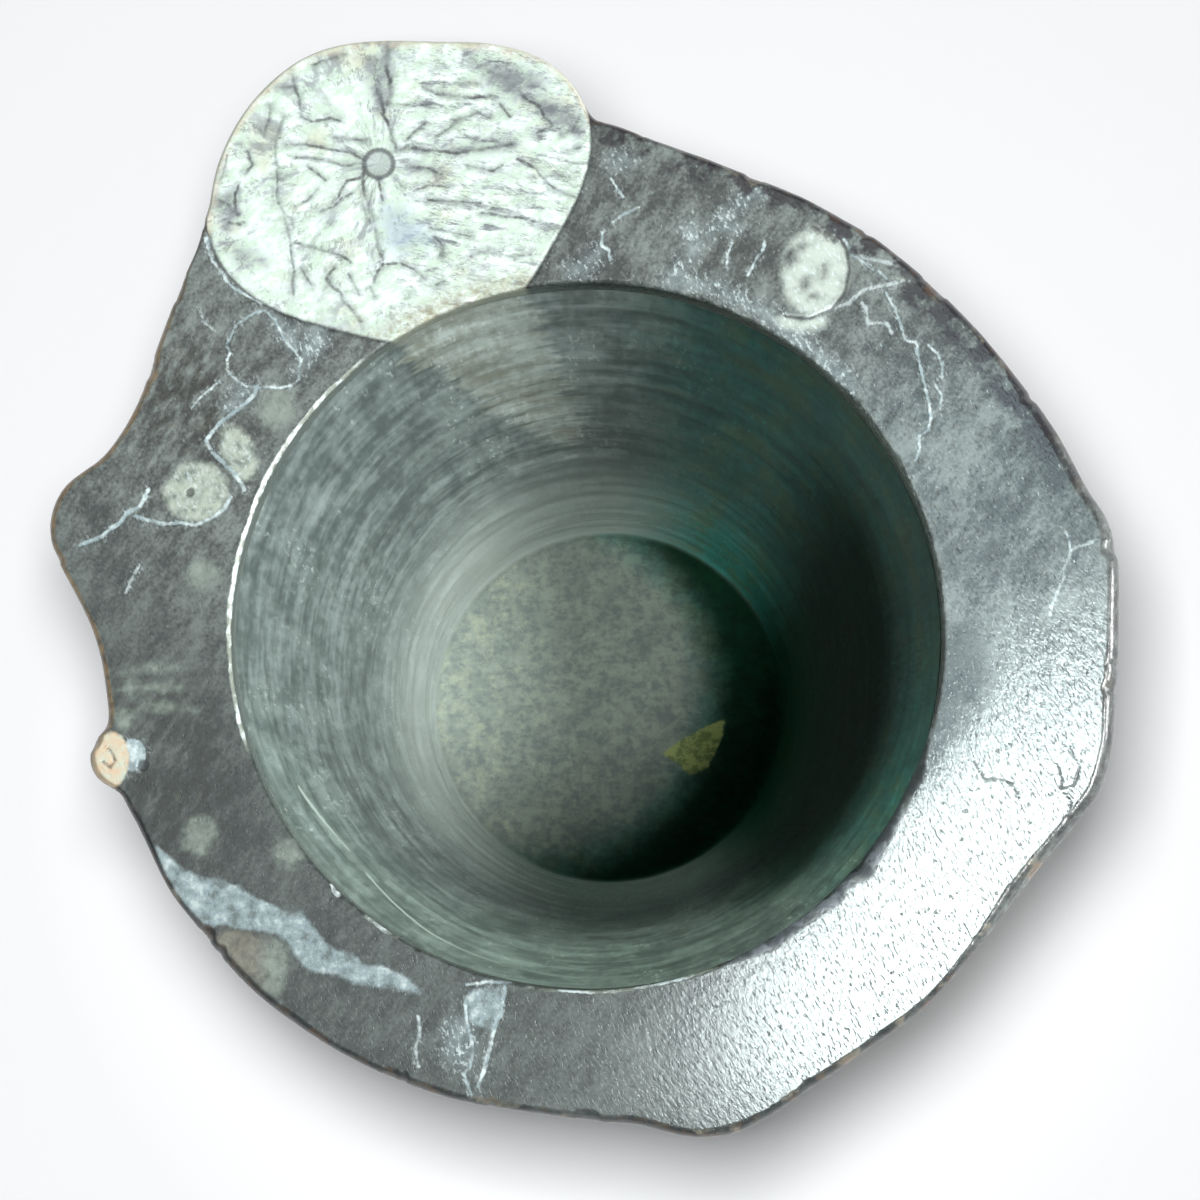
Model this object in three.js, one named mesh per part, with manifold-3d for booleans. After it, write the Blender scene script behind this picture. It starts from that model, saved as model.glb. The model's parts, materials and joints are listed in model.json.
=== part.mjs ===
// A pot drilled out of one block of orthoceras limestone. The rim is sawn flat and polished, the
// bore is blind and slightly tapered, and a great straight-shelled fossil runs down the back of the
// block, cut across by the rim. Smaller fossils stand in low relief round the wall. It is all one
// stone, so it is one mesh. Millimetres, +Z up, standing on z = 0.
import * as THREE from 'three';
import { mergeVertices } from 'three/addons/utils/BufferGeometryUtils.js';
import Module from 'manifold-3d';

// Driving dimensions. Plan positions are measured from the axis of the bore.
const HEIGHT = 200;
const EDGE_BEVEL = 1.4;
const OUTLINE_STEPS = 150;
const WALL_STEPS = 10;

const BORE_RIM_RADIUS = 50;
const BORE_FLOOR_RADIUS = 45;
const BORE_DEPTH = 175;
const BORE_FILLET = 4;
const LIP_CHAMFER = 0.7;
const BORE_SIDES = 96;

// The block at its rim, counter-clockwise from +X, with the great fossil taken away.
const RIM_OUTLINE = [
  [75, 1], [75.2, 8.5], [74, 15], [71.5, 19], [67.7, 27], [63.7, 33], [59.8, 38], [55.5, 43.5],
  [52, 47.5], [48.5, 51], [41.2, 57], [35.8, 60.5], [25.7, 65.5], [16.2, 69.5], [10.5, 71.5],
  [3.5, 74.5], [-10, 76], [-27, 75], [-44, 70], [-56.2, 61], [-56.5, 57.5], [-59, 51],
  [-62.2, 42], [-64.8, 33], [-67.2, 28], [-70, 24.2], [-74.7, 21], [-76.4, 18], [-77, 15],
  [-76.5, 12], [-75, 8.8], [-71.3, 2.5], [-68.8, -3.2], [-67.3, -10.5], [-66.6, -17],
  [-65.2, -22.5], [-61.7, -28.8], [-57.5, -36.5], [-53, -42], [-46.5, -49.2], [-38.4, -55.2],
  [-30.5, -59.6], [-23.2, -62.7], [-16, -64.8], [-6, -66.2], [2.5, -67.4], [7.5, -67.6],
  [11, -68.7], [17.3, -69.4], [21, -68.5], [24.5, -66.7], [31.3, -62.3], [38.5, -57.5],
  [45.8, -52.5], [51.5, -46.5], [57.7, -39.7], [63, -33.2], [68.5, -27], [71.5, -23],
  [73.2, -17], [74.1, -10.5], [74.7, -5.5],
];

// Towards the base the outline settles to a plain round one. Halfway up, the wall swells by a mean
// amount and a few broad lobes.
const FOOT_RADIUS = 68;
const OUTLINE_LEFT_AT_FOOT = 0.3;
const MEAN_SWELL = 2.5;
const SWELL_LOBES = [
  { count: 2, height: 2.5, facing: 40 },
  { count: 5, height: 0.9, facing: 15 },
];

// The great fossil: where its middle lies at the rim and at the base, how much of its width is left
// at the base, and its section as a mean radius with two, three and four lobes.
const GREAT_FOSSIL = {
  rim: [-27.5, 65.3],
  foot: [9, 70],
  taper: 0.62,
  radius: 25.9,
  lobes: [
    { count: 2, height: 2.4, facing: 12 },
    { count: 3, height: 1, facing: 40 },
    { count: 4, height: 1.1, facing: 27 },
  ],
  sides: 48,
  steps: 12,
};

// Smaller straight fossils half sunk in the wall, each from its wide end to its narrow end.
const SMALL_FOSSILS = [
  { wide: [-60, -7.5, 22], wideRadius: 13, narrow: [-65.2, -18.6, 202], narrowRadius: 4.4 },
  { wide: [-2, -60.7, 158], wideRadius: 11, narrow: [-22.5, -62, 20], narrowRadius: 4 },
  { wide: [46.5, -36.5, 12], wideRadius: 13.5, narrow: [45, -48, 185], narrowRadius: 5 },
  { wide: [60, -28, 150], wideRadius: 10, narrow: [68, -9.5, 30], narrowRadius: 4 },
  { wide: [57, 25.5, 24], wideRadius: 12.5, narrow: [72, 12.5, 165], narrowRadius: 4.5 },
  { wide: [35, 53.5, 160], wideRadius: 11.5, narrow: [50.5, 45.5, 28], narrowRadius: 4.5 },
  { wide: [-46, 41.5, 16], wideRadius: 14, narrow: [-62.5, 28, 160], narrowRadius: 5.5 },
  { wide: [-43.5, -48.5, 120], wideRadius: 9.5, narrow: [-55, -37, 18], narrowRadius: 4 },
  { wide: [16.5, -62, 92], wideRadius: 9.5, narrow: [39.5, -52.5, 44], narrowRadius: 4 },
  { wide: [-69.5, 5, 118], wideRadius: 7, narrow: [-71.5, 20.5, 150], narrowRadius: 3 },
];
const SMALL_FOSSIL_SIDES = 20;

const wasm = await Module();
wasm.setup();

// A closed geometry as a solid that can be joined and cut.
function toSolid(geometry) {
  const bare = geometry.clone();
  bare.deleteAttribute('normal');
  bare.deleteAttribute('uv');
  const merged = mergeVertices(bare);
  return new wasm.Manifold(new wasm.Mesh({
    numProp: 3,
    vertProperties: new Float32Array(merged.attributes.position.array),
    triVerts: new Uint32Array(merged.index.array),
  }));
}

// A joined or cut solid as a geometry again.
function toGeometry(solid) {
  const { vertProperties, triVerts } = solid.getMesh();
  const geometry = new THREE.BufferGeometry();
  geometry.setAttribute('position', new THREE.BufferAttribute(vertProperties, 3));
  geometry.setIndex(new THREE.BufferAttribute(triVerts, 1));
  geometry.computeVertexNormals();
  return geometry;
}

// A mean value with lobes round a circle. Each set has so many lobes, and one faces so many degrees.
function lobed(mean, lobes, angle) {
  return lobes.reduce((sum, { count, height, facing }) => (
    sum + height * Math.cos(count * (angle - THREE.MathUtils.degToRad(facing)))
  ), mean);
}

// Extrudes a plan outline to the full height with bevelled ends, then moves every vertex.
function loft(outline, steps, move) {
  const geometry = new THREE.ExtrudeGeometry(new THREE.Shape(outline), {
    depth: HEIGHT - 2 * EDGE_BEVEL,
    steps,
    bevelThickness: EDGE_BEVEL,
    bevelSize: EDGE_BEVEL,
    bevelOffset: -EDGE_BEVEL,
    bevelSegments: 1,
  });
  geometry.translate(0, 0, EDGE_BEVEL);
  const place = geometry.attributes.position;
  const point = new THREE.Vector3();
  for (let i = 0; i < place.count; i += 1) {
    point.fromBufferAttribute(place, i);
    move(point, point.z / HEIGHT);
    place.setXYZ(i, point.x, point.y, point.z);
  }
  return geometry;
}

// The block before drilling: the rim's outline, easing to a round foot.
function blockGeometry() {
  const stations = RIM_OUTLINE.map(([x, y]) => new THREE.Vector3(x, y, 0));
  const curve = new THREE.CatmullRomCurve3(stations, true, 'centripetal');
  const outline = curve.getSpacedPoints(OUTLINE_STEPS).slice(0, -1);
  return loft(outline.map(({ x, y }) => new THREE.Vector2(x, y)), WALL_STEPS, (point, up) => {
    const angle = Math.atan2(point.y, point.x);
    const radius = Math.hypot(point.x, point.y);
    const kept = THREE.MathUtils.lerp(OUTLINE_LEFT_AT_FOOT, 1, up);
    const swell = lobed(MEAN_SWELL, SWELL_LOBES, angle);
    const moved = THREE.MathUtils.lerp(FOOT_RADIUS, radius, kept) + swell * Math.sin(Math.PI * up);
    point.x *= moved / radius;
    point.y *= moved / radius;
  });
}

// The great fossil, from its cut section at the rim down to its narrower end at the base.
function greatFossilGeometry() {
  const { rim, foot, taper, radius, lobes, sides, steps } = GREAT_FOSSIL;
  const outline = Array.from({ length: sides }, (_, i) => {
    const angle = (2 * Math.PI * i) / sides;
    const reach = lobed(radius, lobes, angle);
    return new THREE.Vector2(reach * Math.cos(angle), reach * Math.sin(angle));
  });
  return loft(outline, steps, (point, up) => {
    const size = THREE.MathUtils.lerp(taper, 1, up);
    point.x = point.x * size + THREE.MathUtils.lerp(foot[0], rim[0], up);
    point.y = point.y * size + THREE.MathUtils.lerp(foot[1], rim[1], up);
  });
}

// One small fossil: a tapered shell with rounded ends, laid along its own line.
function smallFossilGeometry({ wide, wideRadius, narrow, narrowRadius }) {
  const from = new THREE.Vector3(...wide);
  const along = new THREE.Vector3(...narrow).sub(from);
  const length = along.length();
  const profile = [
    new THREE.Vector2(0, -wideRadius * 0.8),
    new THREE.Vector2(wideRadius * 0.6, -wideRadius * 0.6),
    new THREE.Vector2(wideRadius * 0.9, -wideRadius * 0.3),
    new THREE.Vector2(wideRadius, 0),
    new THREE.Vector2((wideRadius + narrowRadius) / 2, length / 2),
    new THREE.Vector2(narrowRadius, length),
    new THREE.Vector2(narrowRadius * 0.6, length + narrowRadius * 0.8),
    new THREE.Vector2(0, length + narrowRadius * 1.2),
  ];
  const geometry = new THREE.LatheGeometry(profile, SMALL_FOSSIL_SIDES);
  const turn = new THREE.Quaternion().setFromUnitVectors(new THREE.Vector3(0, 1, 0), along.normalize());
  return geometry.applyQuaternion(turn).translate(from.x, from.y, from.z);
}

// What the drill takes out: a tapered blind bore with a rounded floor edge and an eased lip.
function boreGeometry() {
  const floor = HEIGHT - BORE_DEPTH;
  const corner = BORE_FLOOR_RADIUS - BORE_FILLET;
  const fillet = [0, 30, 60, 90].map((degrees) => {
    const turn = THREE.MathUtils.degToRad(degrees);
    return new THREE.Vector2(
      corner + BORE_FILLET * Math.sin(turn),
      floor + BORE_FILLET * (1 - Math.cos(turn)),
    );
  });
  const above = HEIGHT + 10;
  const profile = [
    new THREE.Vector2(0, floor),
    ...fillet,
    new THREE.Vector2(BORE_RIM_RADIUS, HEIGHT - LIP_CHAMFER),
    new THREE.Vector2(BORE_RIM_RADIUS + LIP_CHAMFER, HEIGHT),
    new THREE.Vector2(BORE_RIM_RADIUS + LIP_CHAMFER, above),
    new THREE.Vector2(0, above),
  ];
  return new THREE.LatheGeometry(profile, BORE_SIDES).rotateX(Math.PI / 2);
}

// The space between the base plane and the rim plane, where the block was sawn.
function sawnStock() {
  const width = 400;
  return toSolid(new THREE.BoxGeometry(width, width, HEIGHT).translate(0, 0, HEIGHT / 2));
}

let stone = toSolid(blockGeometry()).add(toSolid(greatFossilGeometry()));
for (const fossil of SMALL_FOSSILS) {
  stone = stone.add(toSolid(smallFossilGeometry(fossil)));
}
stone = stone.intersect(sawnStock()).subtract(toSolid(boreGeometry()));

const pot = new THREE.Mesh(toGeometry(stone), new THREE.MeshStandardMaterial({
  color: 0x5f6664,
  roughness: 0.35,
  metalness: 0,
}));
pot.name = 'fossil_stone_pot';

// The middle of the footprint goes to the origin, with the base on z = 0.
const middle = new THREE.Box3().setFromObject(pot).getCenter(new THREE.Vector3());
pot.position.set(-middle.x, -middle.y, 0);

const part = new THREE.Group();
part.add(pot);
export default part;
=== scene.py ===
"""Dresses a pot drilled from one block of orthoceras limestone.

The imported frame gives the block: its outline, its bore and its heights are measured by probing that
solid. Four skins stand for the one stone, edge to edge: the polished rim, the corner of the rim that
the great fossil ends in, the turned bore and the carved outer wall. Plan positions are millimetres
from the bore's axis and heights are millimetres above the base.
"""

from __future__ import annotations

import json
import logging
import math
from collections.abc import Mapping, Sequence
from dataclasses import dataclass, field
from enum import Enum
from typing import Any, Protocol

import bpy
import numpy as np
from mathutils import Matrix, Vector, noise
from mathutils.bvhtree import BVHTree

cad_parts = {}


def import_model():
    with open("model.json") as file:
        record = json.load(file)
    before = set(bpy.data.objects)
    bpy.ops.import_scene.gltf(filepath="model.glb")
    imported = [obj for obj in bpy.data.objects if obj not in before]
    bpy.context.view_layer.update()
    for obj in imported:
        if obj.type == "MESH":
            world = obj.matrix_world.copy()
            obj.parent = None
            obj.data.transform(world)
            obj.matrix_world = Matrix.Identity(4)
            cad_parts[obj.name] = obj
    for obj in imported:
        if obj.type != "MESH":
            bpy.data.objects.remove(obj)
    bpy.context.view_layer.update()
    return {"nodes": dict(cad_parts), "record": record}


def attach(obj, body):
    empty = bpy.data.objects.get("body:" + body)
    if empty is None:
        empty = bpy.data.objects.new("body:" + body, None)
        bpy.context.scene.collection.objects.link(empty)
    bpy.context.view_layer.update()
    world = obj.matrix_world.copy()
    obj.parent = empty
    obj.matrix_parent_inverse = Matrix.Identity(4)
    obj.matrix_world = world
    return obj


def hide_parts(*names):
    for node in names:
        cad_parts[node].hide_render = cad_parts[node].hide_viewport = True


log = logging.getLogger("stone_pot")

MM = 0.001
POT_NODE = "fossil_stone_pot"
POT_BODY = "root"
FAR_OUTSIDE = -6.0

# Directions, in degrees, between which the great fossil's corner of the rim lies.
CORNER_START = 86
CORNER_END = 137

Colour = tuple[float, float, float, float]
Triple = tuple[float, float, float]
Plan = tuple[float, float]
Span = tuple[float, float]


def tint(red: float, green: float, blue: float) -> Colour:
    """A colour given as it looks on a screen, 0 to 255, turned into light values."""
    return (*(((v / 255 + 0.055) / 1.055) ** 2.4 for v in (red, green, blue)), 1.0)


def ease(values: np.ndarray, low: float, high: float) -> np.ndarray:
    """Rises smoothly from 0 at low to 1 at high.

    Args:
        values: The numbers to grade.
        low: Where the rise starts. It may lie above high, for a fall.
        high: Where the rise ends.

    Returns:
        An array of numbers from 0 to 1.
    """
    part = np.clip((values - low) / (high - low), 0, 1)
    return part * part * (3 - 2 * part)


def grain(points: np.ndarray, size: Sequence[float], octaves: int, seed: float) -> np.ndarray:
    """Rough noise laid through space.

    Args:
        points: Positions, one row each.
        size: Width of the noise's lumps along X, Y and Z, in millimetres.
        octaves: How many finer layers are added.
        seed: A shift that makes one grain differ from another.

    Returns:
        A number near -1 to 1 for each point.
    """
    scaled = points / np.asarray(size) + seed
    return np.array([noise.fractal(p, 0.9, 2.0, octaves) for p in scaled.tolist()])


def spread(start: float, count: int) -> np.ndarray:
    """Directions spread evenly all round the axis, in radians, from a first one."""
    return start + np.arange(count) * 2 * math.pi / count


# ---- marks in the stone


class Mark(Protocol):
    """Anything drawn on a plan that can say how deep a point lies inside it."""

    def inside(self, plan: np.ndarray) -> np.ndarray:
        """Millimetres inside the mark, negative outside it."""


@dataclass(frozen=True)
class Line:
    """A crack, vein or band that follows a line of points."""

    points: tuple[Plan, ...]
    width: float

    def inside(self, plan: np.ndarray) -> np.ndarray:
        """Measures how deep points lie within the line.

        Args:
            plan: Positions, one row each.

        Returns:
            Millimetres inside, negative outside.
        """
        stations = np.asarray(self.points)
        result = np.full(len(plan), FAR_OUTSIDE)
        low, high = stations.min(0) + FAR_OUTSIDE, stations.max(0) - FAR_OUTSIDE
        near = np.nonzero(np.all((plan > low) & (plan < high), axis=1))[0]
        for start, end in zip(stations, stations[1:]):
            step = end - start
            away = plan[near] - start
            share = np.clip(away @ step / max(step @ step, 1e-9), 0, 1)
            gap = np.linalg.norm(away - share[:, None] * step, axis=1)
            result[near] = np.maximum(result[near], self.width / 2 - gap)
        return result


@dataclass(frozen=True)
class Oval:
    """A round or oval fossil cut across."""

    centre: Plan
    radii: Plan
    turn: float = 0.0

    def inside(self, plan: np.ndarray) -> np.ndarray:
        """Measures how deep points lie within the oval.

        Args:
            plan: Positions, one row each.

        Returns:
            Millimetres inside, negative outside.
        """
        turn = math.radians(self.turn)
        away = plan - np.asarray(self.centre)
        across = away[:, 0] * math.cos(turn) + away[:, 1] * math.sin(turn)
        up = away[:, 1] * math.cos(turn) - away[:, 0] * math.sin(turn)
        reach = np.hypot(across / self.radii[0], up / self.radii[1])
        return (1 - reach) * min(self.radii)


@dataclass(frozen=True)
class Patch:
    """An area with a drawn outline."""

    outline: tuple[Plan, ...]

    def inside(self, plan: np.ndarray) -> np.ndarray:
        """Measures how deep points lie within the outline.

        Args:
            plan: Positions, one row each.

        Returns:
            Millimetres inside, negative outside.
        """
        closed = (*self.outline, self.outline[0])
        gap = -Line(closed, 0.0).inside(plan)
        corners = np.asarray(closed)
        within = np.zeros(len(plan), bool)
        for (ax, ay), (bx, by) in zip(corners, corners[1:]):
            if ay == by:
                continue
            crosses = (plan[:, 1] > min(ay, by)) & (plan[:, 1] <= max(ay, by))
            at = ax + (plan[:, 1] - ay) * (bx - ax) / (by - ay)
            within ^= crosses & (plan[:, 0] < at)
        return np.where(within, gap, -gap)


@dataclass(frozen=True)
class Pierced:
    """A mark with holes in it."""

    whole: Mark
    holes: tuple[Mark, ...]

    def inside(self, plan: np.ndarray) -> np.ndarray:
        """Millimetres inside the mark and outside its holes."""
        return np.minimum(self.whole.inside(plan), -deepest(self.holes, plan))


def deepest(marks: Sequence[Mark], plan: np.ndarray) -> np.ndarray:
    """How deep points lie within the nearest of several marks.

    Args:
        marks: The marks to look at.
        plan: Positions, one row each.

    Returns:
        Millimetres inside, negative outside.
    """
    result = np.full(len(plan), FAR_OUTSIDE)
    for mark in marks:
        result = np.maximum(result, mark.inside(plan))
    return result


def line(width: float, *points: Plan) -> Line:
    """A line through its points, written width first."""
    return Line(points, width)


# ---- fossils in the block


@dataclass(frozen=True)
class GreatFossil:
    """The great straight shell that runs down the back of the block, narrowing as it goes."""

    rim: Plan = (-27.5, 65.3)
    foot: Plan = (9.0, 70.0)
    taper: float = 0.62
    radius: float = 25.9
    lobes: tuple[tuple[int, float, float], ...] = ((2, 2.4, 12), (3, 1.0, 40), (4, 1.1, 27))
    tube: Plan = (-30.4, 68.3)
    tube_radius: float = 2.15
    chamber_share: float = 0.28
    narrowing: float = 0.26
    least_size: float = 0.1

    def inside(self, points: np.ndarray, height: float) -> np.ndarray:
        """Measures how deep points lie within the shell.

        Args:
            points: Positions, one row each.
            height: The block's height.

        Returns:
            Millimetres inside, negative outside.
        """
        up = np.clip(points[:, 2] / height, 0, 1)[:, None]
        centre = np.asarray(self.foot) * (1 - up) + np.asarray(self.rim) * up
        size = self.taper + (1 - self.taper) * up[:, 0]
        away = points[:, :2] - centre
        turn = np.arctan2(away[:, 1], away[:, 0])
        reach = np.full(len(points), self.radius)
        for count, rise, facing in self.lobes:
            reach += rise * np.cos(count * (turn - math.radians(facing)))
        return reach * size - np.linalg.norm(away, axis=1)

    def chamber(self, points: np.ndarray, height: float) -> np.ndarray:
        """Numbers the chambers along the shell, with a fraction between walls."""
        size = self.taper + (1 - self.taper) * points[:, 2] / height
        return np.log(np.maximum(size, self.least_size)) / math.log(1 - self.chamber_share * self.narrowing)


@dataclass(frozen=True)
class SmallFossil:
    """A small straight shell half sunk in the wall, from its wide end to its narrow end."""

    wide: Triple
    wide_radius: float
    narrow: Triple
    narrow_radius: float
    wide_cap: float = 0.8
    narrow_cap: float = 1.2
    chamber_share: float = 0.8
    wall_sag: float = 0.15
    least_radius: float = 0.5

    def _along(self, points: np.ndarray) -> tuple[np.ndarray, np.ndarray, float]:
        """Places points against the shell's axis.

        Args:
            points: Positions, one row each.

        Returns:
            Distances along the axis and away from it, and the axis's length.
        """
        start, end = np.asarray(self.wide), np.asarray(self.narrow)
        length = float(np.linalg.norm(end - start))
        way = (end - start) / length
        along = (points - start) @ way
        gap = np.linalg.norm(points - start - along[:, None] * way, axis=1)
        return along, gap, length

    def inside(self, points: np.ndarray) -> np.ndarray:
        """Measures how deep points lie within the shell.

        Args:
            points: Positions, one row each.

        Returns:
            Millimetres inside, negative outside.
        """
        along, gap, length = self._along(points)
        wide_cap, narrow_cap = self.wide_cap * self.wide_radius, self.narrow_cap * self.narrow_radius
        past_wide = np.clip(-along / wide_cap, 0, 1)
        past_narrow = np.clip((along - length) / narrow_cap, 0, 1)
        share = np.clip(along / length, 0, 1)
        reach = self.wide_radius + (self.narrow_radius - self.wide_radius) * share
        reach = reach * np.sqrt(1 - np.maximum(past_wide, past_narrow) ** 2)
        beyond = np.maximum(-along - wide_cap, along - length - narrow_cap)
        return reach - gap - np.maximum(beyond, 0)

    def chamber(self, points: np.ndarray) -> np.ndarray:
        """Numbers the chambers along the shell, with a fraction between walls.

        Args:
            points: Positions, one row each.

        Returns:
            A chamber number for each point.
        """
        along, gap, length = self._along(points)
        narrowing = (self.wide_radius - self.narrow_radius) / length
        here = np.maximum(self.wide_radius - narrowing * (along + self.wall_sag * gap), self.least_radius)
        return -np.log(here / self.wide_radius) / (self.chamber_share * narrowing)


SMALL_FOSSILS = (
    SmallFossil((-60, -7.5, 22), 13, (-65.2, -18.6, 202), 4.4),
    SmallFossil((-2, -60.7, 158), 11, (-22.5, -62, 20), 4),
    SmallFossil((46.5, -36.5, 12), 13.5, (45, -48, 185), 5),
    SmallFossil((60, -28, 150), 10, (68, -9.5, 30), 4),
    SmallFossil((57, 25.5, 24), 12.5, (72, 12.5, 165), 4.5),
    SmallFossil((35, 53.5, 160), 11.5, (50.5, 45.5, 28), 4.5),
    SmallFossil((-46, 41.5, 16), 14, (-62.5, 28, 160), 5.5),
    SmallFossil((-43.5, -48.5, 120), 9.5, (-55, -37, 18), 4),
    SmallFossil((16.5, -62, 92), 9.5, (39.5, -52.5, 44), 4),
    SmallFossil((-69.5, 5, 118), 7, (-71.5, 20.5, 150), 3),
)


# ---- the block, as probed


@dataclass
class StoneBody:
    """The sawn and drilled block that the frame holds, measured by probing its solid."""

    solid: bpy.types.Object
    mouth: Sequence[Sequence[float]]
    columns: int = 1440
    layers: int = 201
    arris: float = 1.45
    far: float = 200.0
    bore_ends: Span = (6.0, 1.0)
    bore_heights: int = 9
    bore_directions: int = 97
    smooth_reach: int = 8
    smooth_round: float = 3.0
    smooth_up: float = 2.0
    chamber_shift: float = 0.37
    axis: np.ndarray = field(init=False)
    height: float = field(init=False)
    floor: float = field(init=False)
    great: GreatFossil = GreatFossil()

    def __post_init__(self) -> None:
        """Surveys the block once, so that every skin is cut from the same figures."""
        low, high = np.asarray(self.mouth)
        self.axis = np.array([*((low + high) / 2 / MM)[:2], 0.0])
        data = self.solid.data
        corners = np.array([v.co for v in data.vertices]) / MM - self.axis
        self.height = float(corners[:, 2].max())
        self._tree = BVHTree.FromPolygons(corners.tolist(), [tuple(p.vertices) for p in data.polygons])
        self.floor = self.height - self._probe((0, 0, self.height), (0, 0, -1))
        self._heights = np.linspace(self.arris, self.height - self.arris, self.layers)
        self._outline = self._survey()
        lowest, highest = self.floor + self.bore_ends[0], self.height - self.bore_ends[1]
        heights = np.linspace(lowest, highest, self.bore_heights)
        self._taper = np.polyfit(heights, [self._bore_at(z) for z in heights], 1)

    def _probe(self, start: Sequence[float], way: Sequence[float]) -> float:
        """How far a straight probe goes before it meets the stone."""
        return self._tree.ray_cast(Vector(start), Vector(way))[3]

    def _bore_at(self, height: float) -> float:
        """The bore's full radius at one height."""
        turns = np.linspace(0, 2 * math.pi, self.bore_directions)
        return max(self._probe((0, 0, height), (math.cos(a), math.sin(a), 0)) for a in turns)

    def _survey(self) -> np.ndarray:
        """Probes the outer wall all round and all the way up, and eases its facets.

        Returns:
            The wall's radius, one row for each height and one column for each direction.
        """
        turns = spread(0, self.columns)
        table = np.empty((self.layers, self.columns))
        for row, height in enumerate(self._heights):
            for column, turn in enumerate(turns):
                way = Vector((math.cos(turn), math.sin(turn), 0))
                start = way * self.far + Vector((0, 0, height))
                table[row, column] = self.far - self._probe(start, -way)
        reach = self.smooth_reach
        taps = np.arange(-reach, reach + 1)
        weights = np.exp(-((taps / self.smooth_round) ** 2) / 2)
        table = sum(w * np.roll(table, tap, 1) for tap, w in zip(taps, weights / weights.sum()))
        weights = np.exp(-((taps / self.smooth_up) ** 2) / 2)
        taller = np.pad(table, [(reach, reach), (0, 0)], mode="edge")
        firsts = taps + reach
        return sum(w * taller[k : k + self.layers] for k, w in zip(firsts, weights / weights.sum()))

    def outer(self, turns: np.ndarray, height: float) -> np.ndarray:
        """Looks up the wall's radius.

        Args:
            turns: Directions from the axis, in radians.
            height: Height above the base.

        Returns:
            The radius in millimetres in each direction.
        """
        column = np.mod(turns, 2 * math.pi) * self.columns / (2 * math.pi)
        row = float(np.interp(height, self._heights, np.arange(self.layers)))
        c0, r0 = np.floor(column).astype(int), min(int(row), self.layers - 2)
        c1, dc, dr = (c0 + 1) % self.columns, column - c0, row - r0
        c0 %= self.columns
        near = self._outline[r0, c0] * (1 - dc) + self._outline[r0, c1] * dc
        above = self._outline[r0 + 1, c0] * (1 - dc) + self._outline[r0 + 1, c1] * dc
        return near * (1 - dr) + above * dr

    def bore(self, height: float) -> float:
        """The bore's radius at a height, by its straight taper."""
        slope, start = self._taper
        return float(start + slope * height)

    def small_inside(self, points: np.ndarray) -> tuple[np.ndarray, np.ndarray]:
        """Finds the small fossil that each point is deepest in.

        Args:
            points: Positions, one row each.

        Returns:
            Millimetres inside it, and its chamber number there.
        """
        depth = np.full(len(points), FAR_OUTSIDE)
        chamber = np.zeros(len(points))
        for number, fossil in enumerate(SMALL_FOSSILS):
            here = fossil.inside(points)
            nearer = here > depth
            depth[nearer] = here[nearer]
            chamber[nearer] = fossil.chamber(points[nearer]) + self.chamber_shift * number
        return depth, chamber


# ---- skins


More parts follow.
